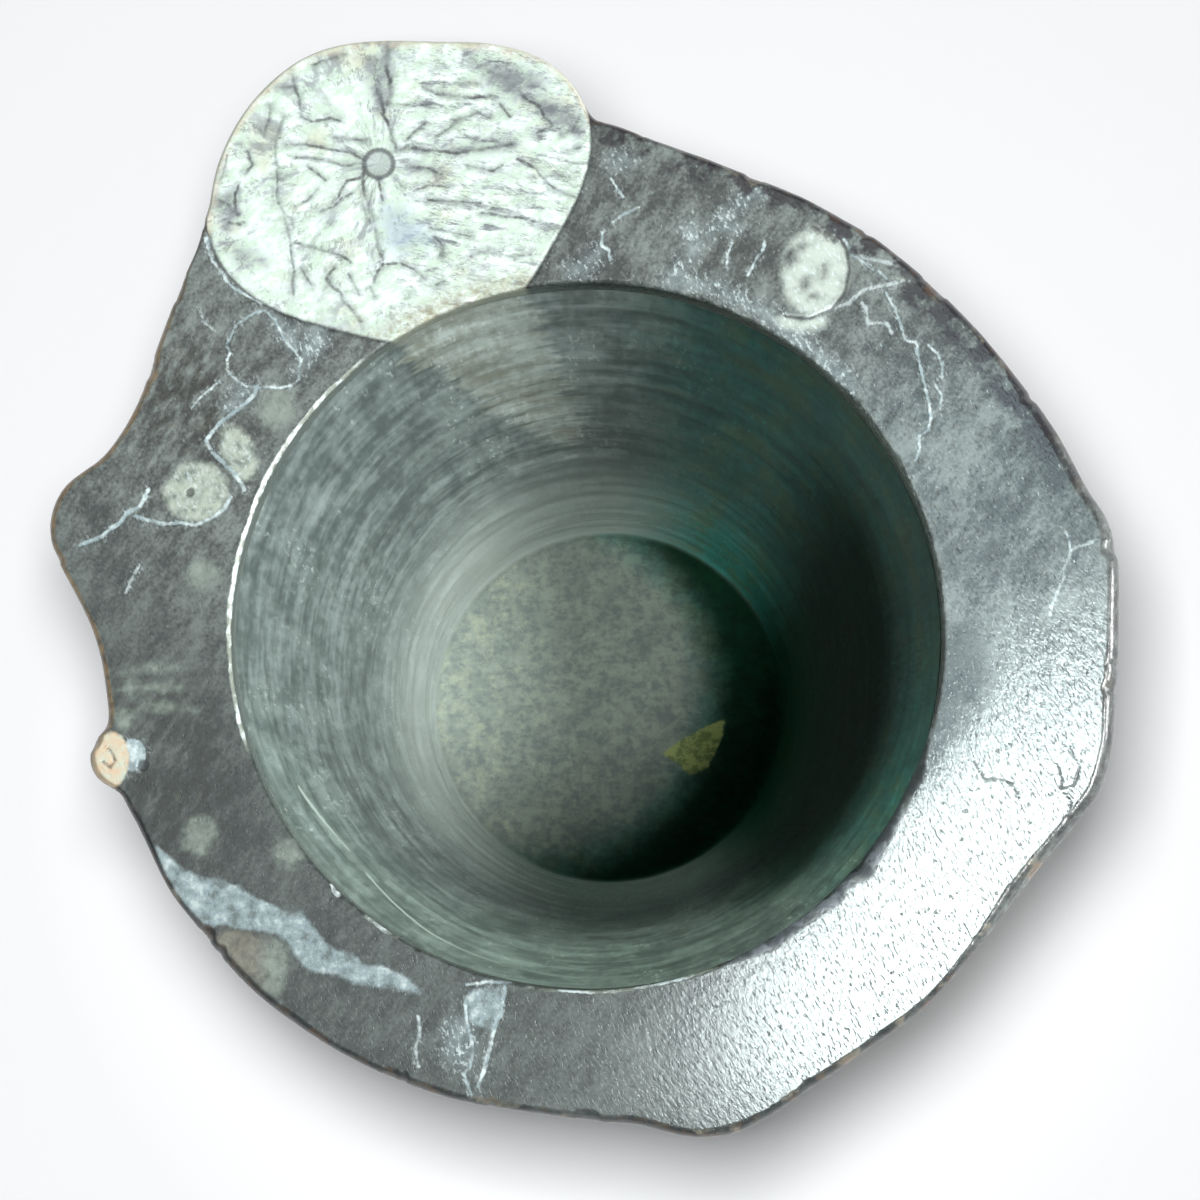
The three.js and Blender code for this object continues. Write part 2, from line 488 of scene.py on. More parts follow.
@dataclass
class Skin:
    """A surface built from rows of points. Each row runs round the axis.

    The rows follow one path: out over the bore's floor, up its wall, out across the rim, down the
    outer wall and in under the base. Faces wound along that path all look outward.
    """

    name: str
    body: StoneBody
    closed: bool
    rows: list[np.ndarray] = field(default_factory=list)
    turns: list[np.ndarray] = field(default_factory=list)

    def add(self, turns: np.ndarray, radii: np.ndarray | float, heights: np.ndarray | float) -> None:
        """Adds a row of points.

        Args:
            turns: Directions from the axis, in radians, rising.
            radii: Distances from the axis.
            heights: Heights above the base.
        """
        radii = np.broadcast_to(radii, turns.shape)
        heights = np.broadcast_to(heights, turns.shape)
        self.rows.append(np.stack([radii * np.cos(turns), radii * np.sin(turns), heights], 1))
        self.turns.append(turns)

    def _even_strip(self, first: int, second: int, count: int) -> list[tuple[int, ...]]:
        """Joins two rows that hold as many points as each other.

        Args:
            first: Index of the first row's first point.
            second: Index of the second row's first point.
            count: Number of points in each row.

        Returns:
            The faces as tuples of point indices.
        """
        steps = np.arange(count if self.closed else count - 1)
        after = (steps + 1) % count
        quads = [first + steps, second + steps, second + after, first + after]
        return [tuple(quad) for quad in np.stack(quads, 1).tolist()]

    def _uneven_strip(self, first: int, second: int, ahead: Sequence[np.ndarray]) -> list[tuple[int, ...]]:
        """Joins two rows that hold different numbers of points.

        Args:
            first: Index of the first row's first point.
            second: Index of the second row's first point.
            ahead: The directions of both rows' points.

        Returns:
            The faces as tuples of point indices.
        """
        counts = [len(row) for row in ahead]
        wrap = 2 * math.pi
        turns = [[*row, row[0] + wrap] if self.closed else list(row) for row in ahead]
        ends = [len(row) - 1 if count > 1 else 0 for row, count in zip(turns, counts)]
        faces: list[tuple[int, ...]] = []
        i = j = 0
        while i < ends[0] or j < ends[1]:
            corner = (first + i % counts[0], second + j % counts[1])
            if j >= ends[1] or (i < ends[0] and turns[0][i + 1] <= turns[1][j + 1]):
                i += 1
                faces.append((*corner, first + i % counts[0]))
            else:
                j += 1
                faces.append((*corner, second + j % counts[1]))
        return faces

    def points(self) -> np.ndarray:
        """Every point of every row, in order."""
        return np.concatenate(self.rows)

    def finish(self, points: np.ndarray, marks: Mapping[str, np.ndarray]) -> bpy.types.Object:
        """Turns the rows into a mesh that rides with the stone.

        Args:
            points: The rows' points after wear and tool marks have moved them.
            marks: Named figures for the finish, one number for each point.

        Returns:
            The new object.
        """
        faces: list[tuple[int, ...]] = []
        first = 0
        for row, after, *turns in zip(self.rows, self.rows[1:], self.turns, self.turns[1:]):
            second = first + len(row)
            if len(row) == len(after):
                faces += self._even_strip(first, second, len(row))
            else:
                faces += self._uneven_strip(first, second, turns)
            first = second
        mesh = bpy.data.meshes.new(self.name)
        mesh.from_pydata(((points + self.body.axis) * MM).tolist(), [], faces)
        for name, values in marks.items():
            layer = mesh.attributes.new(name, "FLOAT", "POINT")
            layer.data.foreach_set("value", np.asarray(values, np.float32))
        mesh.shade_smooth()
        mesh.update()
        skin = bpy.data.objects.new(self.name, mesh)
        bpy.context.scene.collection.objects.link(skin)
        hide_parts(POT_NODE)
        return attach(skin, POT_BODY)


@dataclass
class ToolMarks:
    """What the saw, the core drill and the chisel left, and what has chipped off since."""

    body: StoneBody
    skirt: float = 4.0
    bevel: float = 1.15
    lip: float = 0.3
    lip_ring: float = 50.0
    outer_ring: float = 72.0
    chipped_lip: Span = (125.0, 205.0)
    bruised_lip: Span = (258.0, 296.0)
    bitten_lip: Span = (-45.0, -36.0)
    worn_lip: Span = (-70.0, -18.0)
    fossil_edge: Span = (84.0, 146.0)
    wide_bevel: Span = (-44.0, 34.0)
    ledge: Span = (-82.0, -8.0)

    def _ring(self, turns: np.ndarray, radius: float) -> np.ndarray:
        """Points on a flat ring round the axis, for an edge's noises to be read at."""
        return radius * np.stack([np.cos(turns), np.sin(turns), np.zeros_like(turns)], 1)

    def _arc(self, turns: np.ndarray, span: Span, fade: float) -> np.ndarray:
        """Tells directions within a span from those outside it.

        Args:
            turns: Directions from the axis, in radians.
            span: The span's ends, in degrees.
            fade: How many degrees the figure falls over at each end.

        Returns:
            1 within the span, falling to 0 at its ends.
        """
        middle, half = math.radians(sum(span) / 2), math.radians(span[1] - span[0]) / 2
        away = np.abs(np.mod(turns - middle + math.pi, 2 * math.pi) - math.pi)
        return 1 - ease(away, half - math.radians(fade), half)

    def flaked(self, turns: np.ndarray) -> np.ndarray:
        """How badly the lip is bruised white.

        Args:
            turns: Directions from the axis, in radians.

        Returns:
            0 to 1 for each direction.
        """
        ring = self._ring(turns, self.lip_ring)
        here_and_there = ease(grain(ring, (5, 5, 5), 3, 31.3), 0.1, 0.5)
        here_and_there *= 1 - self._arc(turns, self.fossil_edge, 8)
        lesser = np.maximum(0.9 * self._arc(turns, self.bruised_lip, 10), 0.55 * here_and_there)
        return np.maximum(self._arc(turns, self.chipped_lip, 10), lesser)

    def worn(self, turns: np.ndarray) -> np.ndarray:
        """How far the lip's polish is rubbed away in each direction, 0 to 1."""
        return self._arc(turns, self.worn_lip, 12)

    def lip_width(self, turns: np.ndarray) -> np.ndarray:
        """How far the bore's lip is eased back across the rim.

        Args:
            turns: Directions from the axis, in radians.

        Returns:
            Millimetres of easing for each direction.
        """
        ring = self._ring(turns, self.lip_ring)
        broad = grain(ring, (7, 7, 7), 3, 3.1)
        fine = grain(ring, (1.6, 1.6, 1.6), 3, 8.3)
        chips = ease(grain(ring, (4, 4, 4), 2, 21.7), 0.3, 0.65)
        flaked = self._arc(turns, self.chipped_lip, 34)
        bite = 1.3 * self._arc(turns, self.bitten_lip, 5) * (1 + 0.4 * fine)
        plain = self.lip * (1 + 0.3 * broad + 0.35 * fine) + 0.35 * chips * (1 - flaked)
        worn = self.worn(turns) * (0.8 + 0.4 * broad + 0.12 * fine)
        return plain + 0.22 * flaked * (1 + 0.25 * broad) + bite + worn

    def bevel_width(self, turns: np.ndarray) -> np.ndarray:
        """How far the rim's outer edge is eased back.

        Args:
            turns: Directions from the axis, in radians.

        Returns:
            Millimetres of easing for each direction.
        """
        ring = self._ring(turns, self.outer_ring)
        broad = grain(ring, (14, 14, 14), 3, 5.9)
        chips = ease(grain(ring, (5, 5, 5), 3, 13.3), 0.3, 0.62)
        right = self._arc(turns, self.wide_bevel, 16)
        thin = 1 - 0.4 * self._arc(turns, self.fossil_edge, 10)
        return thin * (self.bevel * (1 + 0.4 * broad) + 0.6 * chips) + 1.2 * right

    def bore(self, points: np.ndarray) -> np.ndarray:
        """How far the drill cut beyond its plain taper.

        Args:
            points: Places on the bore's wall.

        Returns:
            Millimetres outward from the axis.
        """
        turns = np.arctan2(points[:, 1], points[:, 0])
        depth = self.body.height - points[:, 2]
        rings = grain(points, (60, 60, 1.3), 3, 1.7)
        waves = grain(points, (30, 30, 9), 2, 4.4)
        step = self._arc(turns, self.ledge, 22) * (1 - ease(depth + 1.5 * waves, 8.5, 10))
        cut = 0.05 * (1 + rings) + 0.3 * (1 + waves) + 0.55 * step
        return cut * ease(depth, 1.2, 4.5)

    def wall(self, points: np.ndarray, fossil: np.ndarray, chamber: np.ndarray) -> np.ndarray:
        """How deep the outer wall is cut back round its fossils.

        Args:
            points: Places on the wall.
            fossil: Millimetres inside the nearest fossil.
            chamber: That fossil's chamber number.

        Returns:
            Millimetres towards the axis.
        """
        stone = 1 - ease(fossil, -0.6, 0.5)
        strokes = grain(points, (2.2, 2.2, 7), 3, 2.2)
        pits = grain(points, (1.3, 1.3, 1.3), 3, 6.1)
        swell = grain(points, (16, 16, 22), 3, 9.4)
        moat = ease(fossil, -4, -0.4) * (1 - ease(fossil, -0.4, 0.6))
        carved = stone * (0.45 + 0.4 * swell + 0.3 * strokes + 0.14 * pits) + 0.55 * moat
        wall_between = np.abs(chamber - np.round(chamber))
        groove = (1 - stone) * 0.3 * np.exp(-((wall_between / 0.09) ** 2))
        below = self.body.height - points[:, 2]
        return np.clip(carved + groove, 0, 2) * ease(below, 1.6, 4.5) * ease(points[:, 2], 1, 4)


# ---- marks on the rim

# Dark cracks across the great fossil's end.
SHELL_CRACKS = (
    line(0.5, (-43.6, 82.1), (-43.3, 80.6), (-42.6, 79.0), (-42.4, 77.2), (-42.1, 75.8), (-40.4, 75.0),
        (-37.8, 75.5), (-36.3, 75.1)),
    line(0.35, (-45.9, 80.5), (-43.7, 80.5)),
    line(0.32, (-44.7, 75.9), (-45.4, 73.7), (-45.9, 71.8), (-45.7, 68.3), (-45.3, 66.0), (-45.4, 63.3),
        (-44.4, 60.9), (-43.8, 59.0), (-43.2, 56.3), (-43.0, 54.4), (-42.6, 52.2), (-42.7, 49.9),
        (-42.5, 48.4)),
    line(0.22, (-44.2, 60.8), (-43.1, 59.8), (-42.8, 58.4), (-43.5, 58.3)),
    line(0.55, (-37.2, 72.5), (-34.7, 72.2), (-32.3, 72.0)),
    line(0.45, (-44.2, 71.5), (-41.8, 71.5), (-39.2, 71.0), (-36.9, 70.5), (-34.7, 70.1), (-32.8, 69.0)),
    line(0.4, (-42.8, 69.4), (-40.6, 69.4), (-37.6, 68.8), (-35.4, 68.0), (-33.0, 68.5)),
    line(0.3, (-40.9, 68.0), (-39.4, 66.9), (-38.3, 65.9)),
    line(0.5, (-32.7, 67.6), (-32.7, 65.1), (-32.3, 63.3), (-31.7, 61.6), (-31.0, 59.7), (-30.8, 58.1),
        (-30.3, 55.5), (-29.6, 53.9)),
    line(0.35, (-32.7, 62.0), (-32.1, 60.2), (-31.5, 59.3)),
    line(0.38, (-30.4, 65.8), (-30.1, 64.3), (-29.8, 62.7)),
    line(0.4, (-28.0, 66.2), (-27.0, 64.8)),
    line(0.35, (-32.8, 66.2), (-35.0, 65.8), (-35.9, 64.3), (-36.3, 63.2)),
    line(0.28, (-34.2, 63.9), (-35.6, 63.2), (-37.0, 61.8), (-38.9, 61.1)),
    line(0.25, (-39.5, 64.4), (-40.8, 62.8), (-42.6, 61.9)),
    line(0.6, (-29.5, 86.7), (-29.7, 83.3), (-29.1, 81.7), (-28.9, 79.0), (-29.3, 77.6)),
    line(0.45, (-30.2, 76.3), (-29.2, 74.7), (-28.6, 72.4), (-27.9, 70.6)),
    line(0.55, (-31.0, 79.8), (-30.2, 78.2), (-29.9, 76.3)),
    line(0.35, (-29.7, 77.8), (-27.8, 77.6), (-25.2, 77.3), (-23.0, 77.5)),
    line(0.5, (-24.1, 80.1), (-21.9, 79.1), (-19.3, 78.8), (-16.7, 78.4), (-14.1, 78.7)),
    line(0.35, (-19.7, 80.7), (-17.5, 80.9), (-16.0, 80.6)),
    line(0.42, (-28.1, 70.3), (-26.2, 70.8), (-24.4, 70.4), (-21.8, 70.3), (-19.2, 69.8), (-16.6, 70.3),
        (-14.0, 70.6), (-10.7, 71.2)),
    line(0.25, (-26.6, 71.1), (-25.5, 71.3), (-24.5, 70.4)),
    line(0.45, (-19.3, 74.9), (-17.4, 75.5), (-15.9, 76.1), (-14.3, 75.3)),
    line(0.4, (-12.6, 77.4), (-11.7, 76.0), (-11.1, 75.4)),
    line(0.45, (-9.9, 79.5), (-8.8, 78.1), (-6.9, 77.1), (-6.0, 75.2), (-4.9, 74.0), (-7.2, 72.8)),
    line(0.38, (-10.0, 68.8), (-8.5, 68.2), (-7.2, 67.1), (-6.3, 65.9), (-4.8, 64.4), (-3.0, 63.4),
        (-1.5, 62.9)),
    line(0.3, (-6.3, 66.1), (-4.5, 66.4), (-3.0, 66.1)),
    line(0.25, (-25.0, 64.2), (-22.8, 64.9), (-19.9, 64.6)),
    line(0.38, (-23.1, 62.6), (-19.5, 62.5), (-15.4, 62.1)),
    line(0.38, (-15.4, 60.6), (-12.5, 60.2), (-9.5, 59.8), (-6.6, 59.0), (-4.1, 58.2)),
    line(0.35, (-22.7, 58.4), (-19.8, 57.8), (-16.8, 57.0)),
    line(0.6, (-21.9, 56.9), (-20.8, 55.7), (-21.0, 54.2)),
    line(0.28, (-16.8, 54.0), (-14.6, 54.9), (-10.6, 53.9), (-8.0, 54.1)),
    line(0.4, (-28.8, 53.0), (-27.0, 53.1), (-25.2, 52.2), (-23.7, 51.0)),
    line(0.4, (-29.5, 53.0), (-30.3, 51.7), (-30.8, 50.1)),
    line(0.4, (-42.5, 56.3), (-40.2, 55.7), (-38.0, 55.0), (-35.8, 54.4), (-34.3, 53.4)),
    line(0.3, (-41.6, 52.7), (-40.8, 51.2), (-39.9, 49.9)),
    line(0.5, (-36.7, 52.5), (-37.7, 51.0), (-37.2, 49.8), (-35.7, 48.7), (-35.3, 47.5), (-34.2, 46.4),
        (-32.6, 44.3)),
    line(0.3, (-34.5, 51.5), (-33.7, 49.8), (-32.9, 48.3)),
    line(0.28, (-31.3, 49.6), (-30.7, 48.1)),
    line(0.6, (-54.6, 63.4), (-52.6, 62.2), (-51.8, 61.5), (-51.0, 60.8)),
    line(0.45, (-51.2, 65.1), (-51.6, 63.7), (-51.5, 61.6)),
    line(0.55, (-49.9, 70.3), (-49.2, 68.3), (-50.1, 67.0)),
    line(0.3, (-48.2, 73.8), (-47.7, 72.9), (-46.8, 75.9), (-47.0, 78.0)),
    line(0.3, (-49.3, 74.7), (-48.1, 73.6)),
    line(0.45, (-52.3, 59.5), (-50.6, 59.2)),
    line(0.25, (-52.9, 69.9), (-53.8, 66.1)),
    line(0.3, (-22.2, 72.3), (-20.3, 73.6), (-19.2, 74.8)),
    line(0.28, (-26.6, 71.7), (-25.1, 73.3), (-23.7, 74.6)),
    line(0.35, (-25.8, 67.9), (-23.2, 67.6), (-21.0, 66.5)),
    line(0.3, (-17.7, 68.0), (-15.5, 67.5), (-13.6, 67.0), (-12.2, 67.9)),
    line(0.25, (-20.2, 61.8), (-17.6, 62.2)),
    line(0.3, (-20.4, 50.4), (-21.8, 49.7)),
    line(0.3, (-17.9, 72.6), (-15.9, 71.8), (-12.9, 71.6)),
    line(0.35, (-3.7, 72.4), (-1.9, 73.2), (-0.8, 75.5)),
    line(0.4, (-3.0, 70.1), (-0.8, 70.5)),
    line(0.4, (-40.6, 83.9), (-38.0, 85.0), (-35.8, 85.6)),
)

# Thin white calcite veins and chips.
WHITE_VEINS = (
    line(0.4, (-55.7, 57.2), (-55.1, 55.1), (-54.5, 53.6), (-53.2, 52.1), (-52.2, 50.5), (-51.0, 49.4),
        (-49.0, 48.2), (-47.3, 47.3), (-45.3, 47.3), (-43.8, 45.9), (-41.4, 45.0), (-39.2, 44.2),
        (-37.4, 44.2)),
    line(0.35, (-46.6, 46.1), (-48.0, 45.8), (-49.6, 44.7), (-50.9, 43.7), (-51.4, 42.2), (-52.1, 40.9),
        (-51.3, 39.8), (-51.9, 38.7), (-51.5, 36.8), (-50.2, 35.5), (-49.1, 34.8), (-47.6, 34.6),
        (-45.8, 34.6), (-44.0, 34.5), (-42.2, 34.9), (-41.3, 35.8), (-41.4, 37.1), (-41.0, 38.6),
        (-42.2, 40.1), (-43.5, 41.6), (-44.3, 43.1), (-45.0, 44.6), (-46.6, 46.1)),
    line(0.55, (-47.3, 34.7), (-48.0, 33.1), (-49.7, 31.6), (-51.1, 30.5), (-52.5, 29.4), (-53.6, 28.1),
        (-54.4, 26.8), (-53.8, 25.4), (-52.7, 24.3), (-51.6, 23.2), (-49.7, 21.3), (-48.6, 19.5)),
    line(0.5, (-64.3, 15.8), (-62.5, 15.2), (-60.3, 14.6), (-57.8, 14.8), (-55.6, 14.4), (-53.1, 15.5),
        (-51.4, 16.8), (-50.7, 18.4)),
    line(0.6, (-62.6, 19.6), (-63.0, 18.5), (-63.6, 17.2), (-65.4, 16.3), (-66.4, 14.9), (-67.8, 13.8),
        (-69.2, 12.7), (-70.6, 12.2), (-72.0, 11.6)),
    line(0.3, (-56.6, 31.7), (-55.6, 33.1), (-53.8, 34.6), (-52.8, 35.7)),
    line(0.3, (3.8, 65.6), (4.5, 64.3), (5.6, 62.7)),
    line(0.4, (7.8, 61.2), (5.4, 60.0), (4.5, 59.3), (4.0, 58.9)),
    line(0.45, (2.5, 57.4), (2.3, 55.5), (3.4, 54.7), (3.6, 53.2)),
    line(0.3, (21.3, 55.7), (20.6, 53.8), (20.4, 51.6)),
    line(0.4, (26.0, 55.7), (25.7, 54.5), (24.8, 53.4), (24.4, 52.3), (23.5, 50.8)),
    line(0.4, (36.0, 57.3), (37.6, 55.9), (38.6, 53.6), (40.3, 52.4), (41.5, 51.5)),
    line(0.35, (42.4, 51.2), (43.4, 50.1)),
    line(0.4, (43.3, 47.9), (44.5, 45.5), (45.2, 43.4), (45.8, 40.9), (47.5, 40.4), (47.7, 38.0),
        (48.3, 34.8), (49.0, 31.3), (49.2, 29.5), (48.7, 27.5), (47.4, 26.8), (47.5, 25.0), (46.9, 23.3)),
    line(0.3, (49.1, 40.1), (50.5, 38.6), (51.1, 36.6), (50.8, 35.2)),
    line(0.3, (49.9, 34.2), (50.8, 32.7), (50.5, 30.7)),
    line(0.3, (67.6, 12.6), (68.1, 10.3)),
    line(0.4, (-16.0, -49.3), (-13.3, -48.9), (-10.0, -48.9)),
    line(0.4, (-16.2, -51.3), (-16.0, -53.5), (-15.5, -55.7), (-15.0, -57.9), (-15.4, -60.1),
        (-16.3, -60.9), (-15.6, -62.7), (-15.1, -64.0)),
    line(0.5, (-10.8, -49.5), (-11.0, -52.2), (-12.1, -54.8), (-12.7, -57.4), (-13.4, -60.1),
        (-14.3, -62.7)),
    Oval((-63.1, -18.2), (1.8, 2.3)),
    Oval((-55.3, 56.8), (0.6, 0.8)),
)

# Hairline veins that barely show.
FAINT_VEINS = (
    line(0.3, (-65.1, 4.8), (-64.1, 7.3), (-63.3, 8.7)),
    line(0.3, (-56.1, 46.2), (-55.5, 44.7), (-54.1, 43.2)),
    line(0.4, (38.6, 53.6), (41.6, 53.0), (44.3, 52.2)),
    line(0.4, (33.9, 45.0), (37.8, 46.4), (40.2, 48.4), (43.2, 49.1), (46.8, 49.8)),
    line(0.35, (39.8, 46.6), (40.5, 45.2), (40.5, 43.4), (43.2, 43.4), (44.0, 41.9)),
    line(0.3, (-22.5, -53.5), (-22.3, -55.7), (-22.9, -57.5), (-22.4, -60.1)),
    line(0.3, (71.3, 11.5), (68.1, 10.3), (67.8, 9.3), (66.9, 7.6), (67.0, 6.5), (66.2, 4.9),
        (65.1, 2.5), (64.8, 1.1)),
)

# Cloudy blue-white calcite.
CALCITE_CLOUDS = (
    line(1.3, (-2.2, 51.6), (-0.4, 51.8), (1.0, 53.3), (2.0, 54.6)),
    line(1.7, (15.2, 58.0), (16.3, 55.7), (14.8, 53.1), (13.4, 51.2), (12.3, 50.1)),
    line(1.2, (18.1, 56.9), (19.6, 59.1), (21.4, 60.6), (23.2, 62.1), (25.1, 63.3)),
    line(1.3, (19.6, 58.0), (21.0, 57.8), (22.1, 58.0)),
    line(1.6, (12.3, 49.8), (15.9, 49.5), (19.5, 48.9), (20.9, 47.6), (23.0, 46.8), (26.2, 45.1),
        (28.7, 41.8), (31.9, 39.5), (35.7, 36.5), (37.8, 34.3)),
    line(1.5, (28.2, 44.0), (29.2, 42.1), (31.2, 42.5), (32.5, 43.6)),
    Patch((
        (-45.1, 45.0), (-43.2, 43.9), (-41.3, 42.3), (-40.1, 43.1), (-38.5, 43.4), (-37.3, 42.1),
        (-37.8, 40.4), (-39.1, 39.0), (-40.5, 37.7), (-41.5, 36.4), (-41.4, 38.2), (-41.3, 39.7),
        (-42.7, 40.5), (-44.1, 42.2),
    )),
    Patch((
        (-50.9, 34.8), (-47.6, 34.6), (-48.7, 32.7), (-51.1, 30.9), (-51.9, 31.6), (-50.9, 33.1),
    )),
    Oval((5.2, 68.3), (1.4, 1.1)),
    Oval((-16.8, -56.6), (1.9, 2.8)),
)

# Solid blue-white calcite.
CALCITE_BANDS = (
    Patch((
        (-59.7, -30.6), (-57.3, -32.2), (-55.0, -34.0), (-52.6, -34.9), (-49.8, -35.3), (-47.5, -36.2),
        (-45.1, -37.6), (-42.3, -38.9), (-40.4, -39.6), (-38.6, -39.4), (-37.6, -41.2), (-35.8, -43.2),
        (-33.9, -44.7), (-31.6, -45.2), (-30.2, -46.5), (-27.4, -46.9), (-25.1, -47.8), (-22.8, -49.3),
        (-21.2, -50.9), (-23.7, -50.5), (-26.5, -49.8), (-29.2, -49.6), (-31.5, -49.2), (-33.8, -48.1),
        (-36.1, -47.8), (-37.9, -47.4), (-39.4, -45.6), (-40.8, -43.8), (-42.2, -42.7), (-45.9, -42.1),
        (-49.6, -41.4), (-52.8, -41.6), (-54.7, -39.4), (-56.7, -36.7), (-58.4, -34.0),
    )),
    Patch((
        (-16.0, -50.0), (-10.8, -49.5), (-11.2, -52.6), (-12.3, -55.2), (-15.0, -54.8), (-16.2, -52.2),
    )),
)

# The coiled fossil's pale whorls, with the stone that shows between them.
COILED_FOSSIL = (
    Pierced(
        Oval((33.2, 51.2), (4.3, 6.2), -8),
        (
            Oval((31.2, 55.0), (1.2, 0.9), 30),
            Oval((29.4, 53.6), (2.2, 1.5), 35),
            Oval((31.8, 49.2), (0.9, 1.3)),
            Oval((34.6, 51.4), (0.7, 1.5), -10),
            Oval((32.9, 47.6), (1.0, 0.5)),
        ),
    ),
    line(0.9, (28.4, 43.8), (30.9, 43.0), (33.9, 43.8)),
)

# Cream fossils cut across by the rim.
CREAM_FOSSILS = (
    Oval((-49.7, 25.0), (2.1, 3.9), 25),
    Oval((-55.6, 19.3), (4.4, 4.2)),
    Oval((46.4, 49.8), (0.8, 0.5)),
)

# Blurred grey fossils just under the polish.
GREY_FOSSILS = (
    Oval((-44.3, 31.6), (2.5, 2.8)),
    Oval((-54.3, 7.6), (2.3, 1.8)),
    Oval((-53.3, -29.4), (2.1, 2.3)),
    Oval((-40.9, -31.5), (1.6, 1.8)),
    Oval((-64.7, -13.3), (1.4, 1.5)),
    Oval((-60.8, -6.1), (2.6, 0.5), 4),
    Oval((-61.2, -8.7), (2.9, 0.6), 2),
    Oval((-59.6, -11.3), (2.4, 0.5), -6),
)

# The tan shell fragment at the outer edge.
TAN_WEDGE = (
    Patch((
        (-49.6, -41.8), (-45.9, -42.3), (-42.2, -43.0), (-40.3, -44.3), (-40.2, -47.0), (-41.1, -49.6),
        (-41.9, -51.6), (-44.7, -49.4), (-47.6, -47.0), (-50.9, -43.4),
    )),
)

# The small straight fossil that reaches the rim at its left edge.
EDGE_SHELL = (
    Oval((-66.3, -18.9), (2.7, 4.0)),
)

# Dark lines and pits round the small fossils.
DARK_SEAMS = (
    line(0.4, (36.4, 57.2), (37.7, 54.6), (38.1, 51.6), (37.4, 48.2), (35.6, 45.6), (32.3, 44.2),
        (28.6, 44.6)),
    line(0.3, (-67.1, -17.0), (-66.3, -17.6), (-65.6, -18.9), (-66.3, -19.9), (-67.3, -19.1)),
    Oval((-56.5, 19.2), (0.6, 0.7)),
    Oval((-61.7, -19.6), (0.8, 0.8)),
    line(0.1, (53.6, -19.2), (55.0, -21.6), (56.2, -21.4), (58.7, -22.1), (59.6, -24.0)),
    line(0.1, (64.9, -19.4), (65.6, -21.4), (65.3, -22.9), (66.7, -24.6), (66.4, -26.0), (65.8, -27.4)),
    line(0.08, (66.8, -17.0), (67.4, -18.6), (68.0, -19.8), (67.2, -22.4), (65.3, -22.9)),
)

# Smoky areas within the great fossil's end.
SMOKY_AREAS = (
    Patch((
        (-17.5, 85.5), (-14.2, 83.9), (-9.3, 83.0), (-6.7, 81.4), (-6.0, 79.5), (-9.3, 79.3),
        (-10.4, 77.6), (-13.8, 80.0), (-16.0, 82.4),
    )),
    Patch((
        (-9.3, 78.9), (-6.7, 78.7), (-3.8, 77.5), (-1.6, 75.9), (-0.8, 72.4), (-3.8, 73.2),
        (-6.0, 75.6), (-8.9, 77.2),
    )),
    Patch(((-52.4, 56.4), (-49.4, 55.3), (-46.8, 53.3), (-50.4, 53.0))),
    Patch(((-33.2, 84.9), (-30.2, 85.3), (-29.5, 77.4), (-30.4, 75.9), (-31.4, 79.4))),
    line(1.2, (-19.0, 70.4), (-14.1, 70.8), (-10.6, 71.2)),
    line(1.0, (-26.0, 67.7), (-23.0, 67.2), (-21.2, 66.5)),
    line(1.2, (-53.5, 61.6), (-51.6, 61.0), (-52.6, 59.2)),
)

# The bluish area within the great fossil's end.
BLUISH_AREAS = (
    Patch((
        (-30.1, 62.7), (-26.4, 62.3), (-22.7, 58.0), (-21.2, 55.7), (-24.8, 54.3), (-27.0, 54.1),
        (-29.6, 55.4), (-30.6, 58.9),
    )),
)

# Where the polish is dull beside the lip.
DULL_AREAS = (
    Patch((
        (35.5, -30.5), (40.2, -27.0), (43.9, -20.2), (45.6, -12.0), (46.4, -1.5), (54.0, -1.0),
        (56.0, -8.5), (51.5, -15.5), (45.8, -23.8), (41.0, -31.0),
    )),
)

# Where the polish shows brown-stained stone.
BROWN_AREAS = (
    Oval((-60.0, -24.0), (12.0, 20.0), 6),
    Oval((-57.0, 34.0), (8.0, 10.0)),
    Oval((-47.0, -50.0), (8.0, 5.0), -40),
)

# The marks that the rim's skins carry, by the names that its finish reads them under.
RIM_MARKS: Mapping[str, Sequence[Mark]] = {
    "crack": SHELL_CRACKS,
    "smoke": SMOKY_AREAS,
    "blue": BLUISH_AREAS,
    "vein": WHITE_VEINS,
    "faint": FAINT_VEINS,
    "cloud": CALCITE_CLOUDS,
    "band": CALCITE_BANDS,
    "dull": DULL_AREAS,
    "coil": COILED_FOSSIL,
    "cream": CREAM_FOSSILS,
    "grey_fossil": GREY_FOSSILS,
    "tan": TAN_WEDGE,
    "edge_shell": EDGE_SHELL,
    "dark": DARK_SEAMS,
    "brown": BROWN_AREAS,
}

# The olive mineral flake in the bore's floor.
FLOOR_FLAKE = (
    Patch((
        (13.0, -12.5), (19.2, -8.4), (25.4, -5.1), (29.8, -3.1), (29.5, -7.9), (25.3, -16.1),
        (20.4, -18.4), (17.9, -15.3),
    )),
)

# Pale scratches on the bore's wall, as degrees round it and millimetres down it.
BORE_SCRATCHES: tuple[tuple[Plan, ...], ...] = (
    ((207.0, 21.0), (213.0, 24.0), (220.0, 28.0)),
    ((226.0, 25.0), (234.0, 21.0), (242.0, 17.5), (254.7, 15.8)),
)


# ---- shader building


